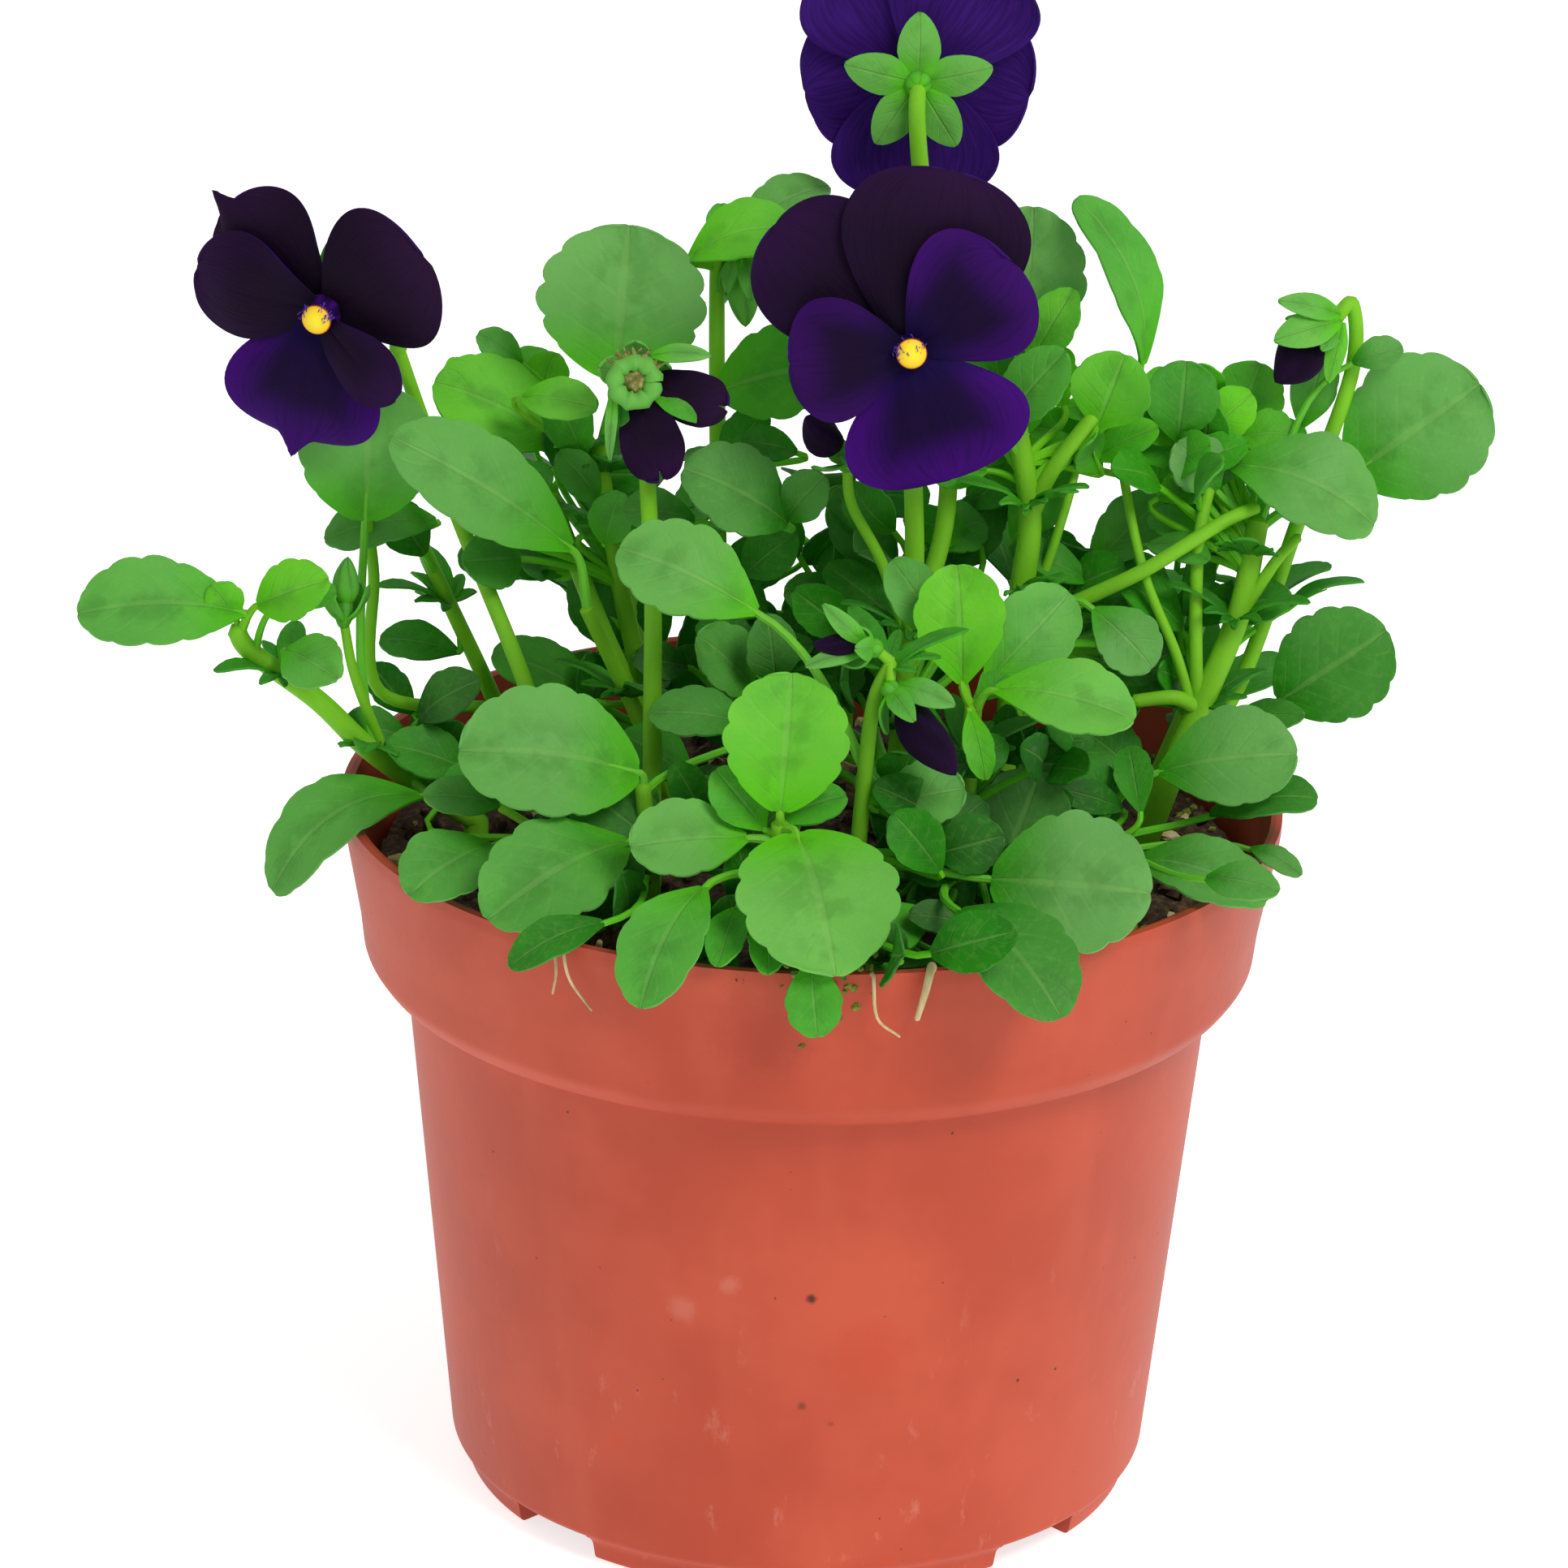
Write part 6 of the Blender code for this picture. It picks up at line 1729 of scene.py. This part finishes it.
def rear_shoot(name, entry, height, headings):
    """A leafy stem at the back, its leaves spread by heading from low and wide to high and close."""
    draw = random.Random(name)
    x, y = entry
    foot = Vector((x, y, STEM_FOOT))
    top = Vector((x * 1.12, y * 1.12, STEM_FOOT + height))
    leaves = []
    for i, heading in enumerate(headings):
        rank = i / (len(headings) - 1)
        turn = math.radians(heading)
        out = Vector((math.cos(turn), math.sin(turn), 0))
        at = 0.35 + 0.6 * rank
        root = foot.lerp(top, at) + out * (11 - 5 * rank) + UP * (6 + 3 * rank)
        rise = 0.1 + 0.8 * rank
        tip = root + (out + UP * rise).normalized() * draw.uniform(13, 17)
        leaves.append((at, root, tip, draw.uniform(9, 12.5), UP - out * 0.3, 0.12))
    return {"stem": [foot, top], "thick": 3.2, "leaves": leaves}


def thicket(name, entries):
    """Small leaves strewn round each entry's middle, which mostly rise and face forward."""
    draw = random.Random(name)
    leaves = []
    for at, middle, spread, count, tone in entries:
        for _ in range(count):
            root = Vector(middle) + Vector(draw.uniform(-reach, reach) for reach in spread)
            way = Vector((draw.gauss(0, 1), draw.gauss(-0.2, 0.5), draw.uniform(0, 1.2))).normalized()
            face = (draw.gauss(0, 0.4), -1, draw.uniform(0.3, 1.2))
            shade = (max(0, tone + draw.gauss(0, 0.09)), max(0, draw.gauss(0.05, 0.1)))
            tip = root + way * draw.uniform(7, 11)
            leaves.append((at, root, tip, draw.uniform(4.5, 8), face, 0.1, shade))
    return leaves


def leaf_shade(leaf, rng):
    """A leaf's tone (0 dark to 1 bright) and painted pale sheen. Where none is given, low and rear leaves
    are darker, as painted shade.
    """
    if len(leaf) > 6:
        return leaf[6]
    root = Vector(leaf[1])
    tone = 0.3 + 0.0045 * (root.z - 90) - 0.006 * root.y + rng.gauss(0, 0.12)
    return min(0.95, max(0.08, tone)), max(0, rng.gauss(0.12, 0.12))


def grow_stems(shoots, stems, paths, clear):
    """Each shoot's stem, and its plain path for all that grows on it."""
    for name, shoot in shoots.items():
        path = paths[name] = stem_path(shoot["stem"])
        clear.add(name, tube_guard(path[1:], shoot["thick"] / 2))
        stems[name] = Growth()
        fine = stem_path(shoot["stem"], FINE_STEPS)
        stems[name].rod(fine, taper(fine, shoot["thick"] * FINE_STEM), 14, STEM_TONE, STEM_SHEEN)


def grow_side_stems(stems, paths, clear):
    """The side stems that only the fine pieces have."""
    for name, entries in MORE_STEMS.items():
        for at, points, thick in entries:
            fine = branch(name, at, points, thick, paths, clear)
            stems[name].rod(fine, taper(fine, thick, 0.8), 10, STEM_TONE, STEM_SHEEN)


def grow_bracts(stems):
    """The bracts and sepals that stand alone."""
    for name, entries in BRACTS.items():
        for root, tip, width, face, tone, sheen_and_underside in entries:
            blade = Blade(root, tip, width, face, 0.1, SEPAL if width > 2 else SLIM, cup=-0.1)
            stems[name].blade(blade, SEPAL_FORM, tone, sheen_and_underside, random.Random(f"{name} {root}"))


def grow_leaves(shoots, stems, paths, clear):
    """The shoots' leaves, then the small ones and last the undergrowth, each where it finds room."""
    large = {name: shoot.get("leaves", ()) for name, shoot in shoots.items()}
    hidden = {name: thicket(name, entries) for name, entries in THICKETS.items()}
    for listed in (large, SMALL_LEAVES, hidden):
        for name, leaves in listed.items():
            for leaf in leaves:
                blade = place_leaf(name, leaf, paths[name][1:], clear)
                if blade:
                    draw = random.Random(f"{name} {leaf[1]}")
                    grow_leaf(stems[name], blade, *leaf_shade(leaf, draw), draw)


def grow_stipules(shoots, stems, paths, clear):
    """The stipules, each where it finds room too."""
    for listed in ({name: shoot.get("stipules", ()) for name, shoot in shoots.items()}, MORE_STIPULES):
        for name, entries in listed.items():
            for at, heading in entries:
                blade = place_stipule(name, at, heading, paths[name][1:], clear)
                if blade:
                    draw = random.Random(f"{name} {at} {heading}")
                    grow_stipule(stems[name], blade, draw.uniform(0.2, 0.55), draw)


def grow_plant(looks):
    """All that grows. Stems, blooms and buds come first, and the leaves then find room among them."""
    shoots = dict(SHOOTS)
    for name, (entry, height, headings) in BACK_SHOOTS.items():
        shoots[name] = rear_shoot(name, entry, height, headings)
    clear = Clearances()
    clear.add("pot", pot_guard())
    clear.add("potting_mix", soil_guard())
    stems, paths = {}, {}
    grow_stems(shoots, stems, paths, clear)
    for name, bloom in BLOOMS.items():
        grow_bloom(name, bloom, stems, paths, clear, looks)
    for name, bud in BUDS.items():
        grow_bud(name, bud, stems, paths, clear, looks)
    grow_side_stems(stems, paths, clear)
    grow_bracts(stems)
    grow_leaves(shoots, stems, paths, clear)
    grow_stipules(shoots, stems, paths, clear)
    for name, growth in stems.items():
        growth.piece(f"fine_{name}", looks["leaf"], "leaf_green", name)


# ---------------------------------------------------------------- camera, light and floor


CAMERA_TILT = 21.2  # degrees downwards
CAMERA_ROLL = 1.35  # degrees
CAMERA_AIM = Vector((-3.62, 0, 93.1))
CAMERA_DISTANCE = 900
FILM_WIDTH = 36
FOCAL_LENGTH = 161.9
FLOOR_REACH = 900


def set_camera():
    """A camera in front of the pot and a little above it, which looks slightly down."""
    tilt, roll = math.radians(CAMERA_TILT), math.radians(CAMERA_ROLL)
    forward = Vector((0, math.cos(tilt), -math.sin(tilt)))
    right = Vector((1, 0, 0))
    up = right.cross(forward)
    across = right * math.cos(roll) + up * math.sin(roll)
    rise = up * math.cos(roll) - right * math.sin(roll)
    data = bpy.data.cameras.new("camera")
    data.sensor_width = FILM_WIDTH
    data.lens = FOCAL_LENGTH
    data.clip_start = 0.01
    camera = bpy.data.objects.new("camera", data)
    bpy.context.scene.collection.objects.link(camera)
    turn = Matrix((across, rise, -forward)).transposed().to_4x4()
    camera.matrix_world = Matrix.Translation((CAMERA_AIM - forward * CAMERA_DISTANCE) * MM) @ turn
    bpy.context.scene.camera = camera


def add_light(name, place, aim, size, power, shade):
    """A round lamp, with its place, aim and size in metres and its power in watts."""
    data = bpy.data.lights.new(name, "AREA")
    data.shape = "DISK"
    data.size = size
    data.energy = power
    data.color = colour(*shade)[:3]
    light = bpy.data.objects.new(name, data)
    bpy.context.scene.collection.objects.link(light)
    light.location = place
    light.rotation_euler = (Vector(aim) - Vector(place)).to_track_quat("-Z", "Y").to_euler()


def set_stage():
    """White surroundings that light the plant with half of what they show, a white floor and a soft lamp."""
    world = bpy.data.worlds.new("world")
    bpy.context.scene.world = world
    world.use_nodes = True
    wires = Wires(world.node_tree)
    seen = wires.add("ShaderNodeLightPath").outputs["Is Camera Ray"]
    strength = wires.math("ADD", 0.5, wires.times(seen, 0.5))
    wires.give(world.node_tree.nodes["Background"], Color=(1, 1, 1, 1), Strength=strength)
    bpy.context.scene.view_settings.view_transform = "Standard"
    corners = [Vector((x, y, 0)) * FLOOR_REACH for x, y in ((-1, -1), (1, -1), (1, 1), (-1, 1))]
    white, wires, shader, _ = new_material("floor_white")
    wires.give(shader, Base_Color=(0.8, 0.8, 0.8, 1), Roughness=1.0)
    wires.give(shader, Emission_Color=(1, 1, 1, 1), Emission_Strength=0.7)
    floor = plain_piece("floor", corners, [(0, 1, 2, 3)], white, 35)
    add_light("key", (0.4, -0.55, 0.8), (0, 0, 0.12), 0.4, 5.0, (255, 250, 242))


looks = make_materials()
build_pot(looks["pot"])
build_soil(looks)
grow_plant(looks)
set_camera()
set_stage()
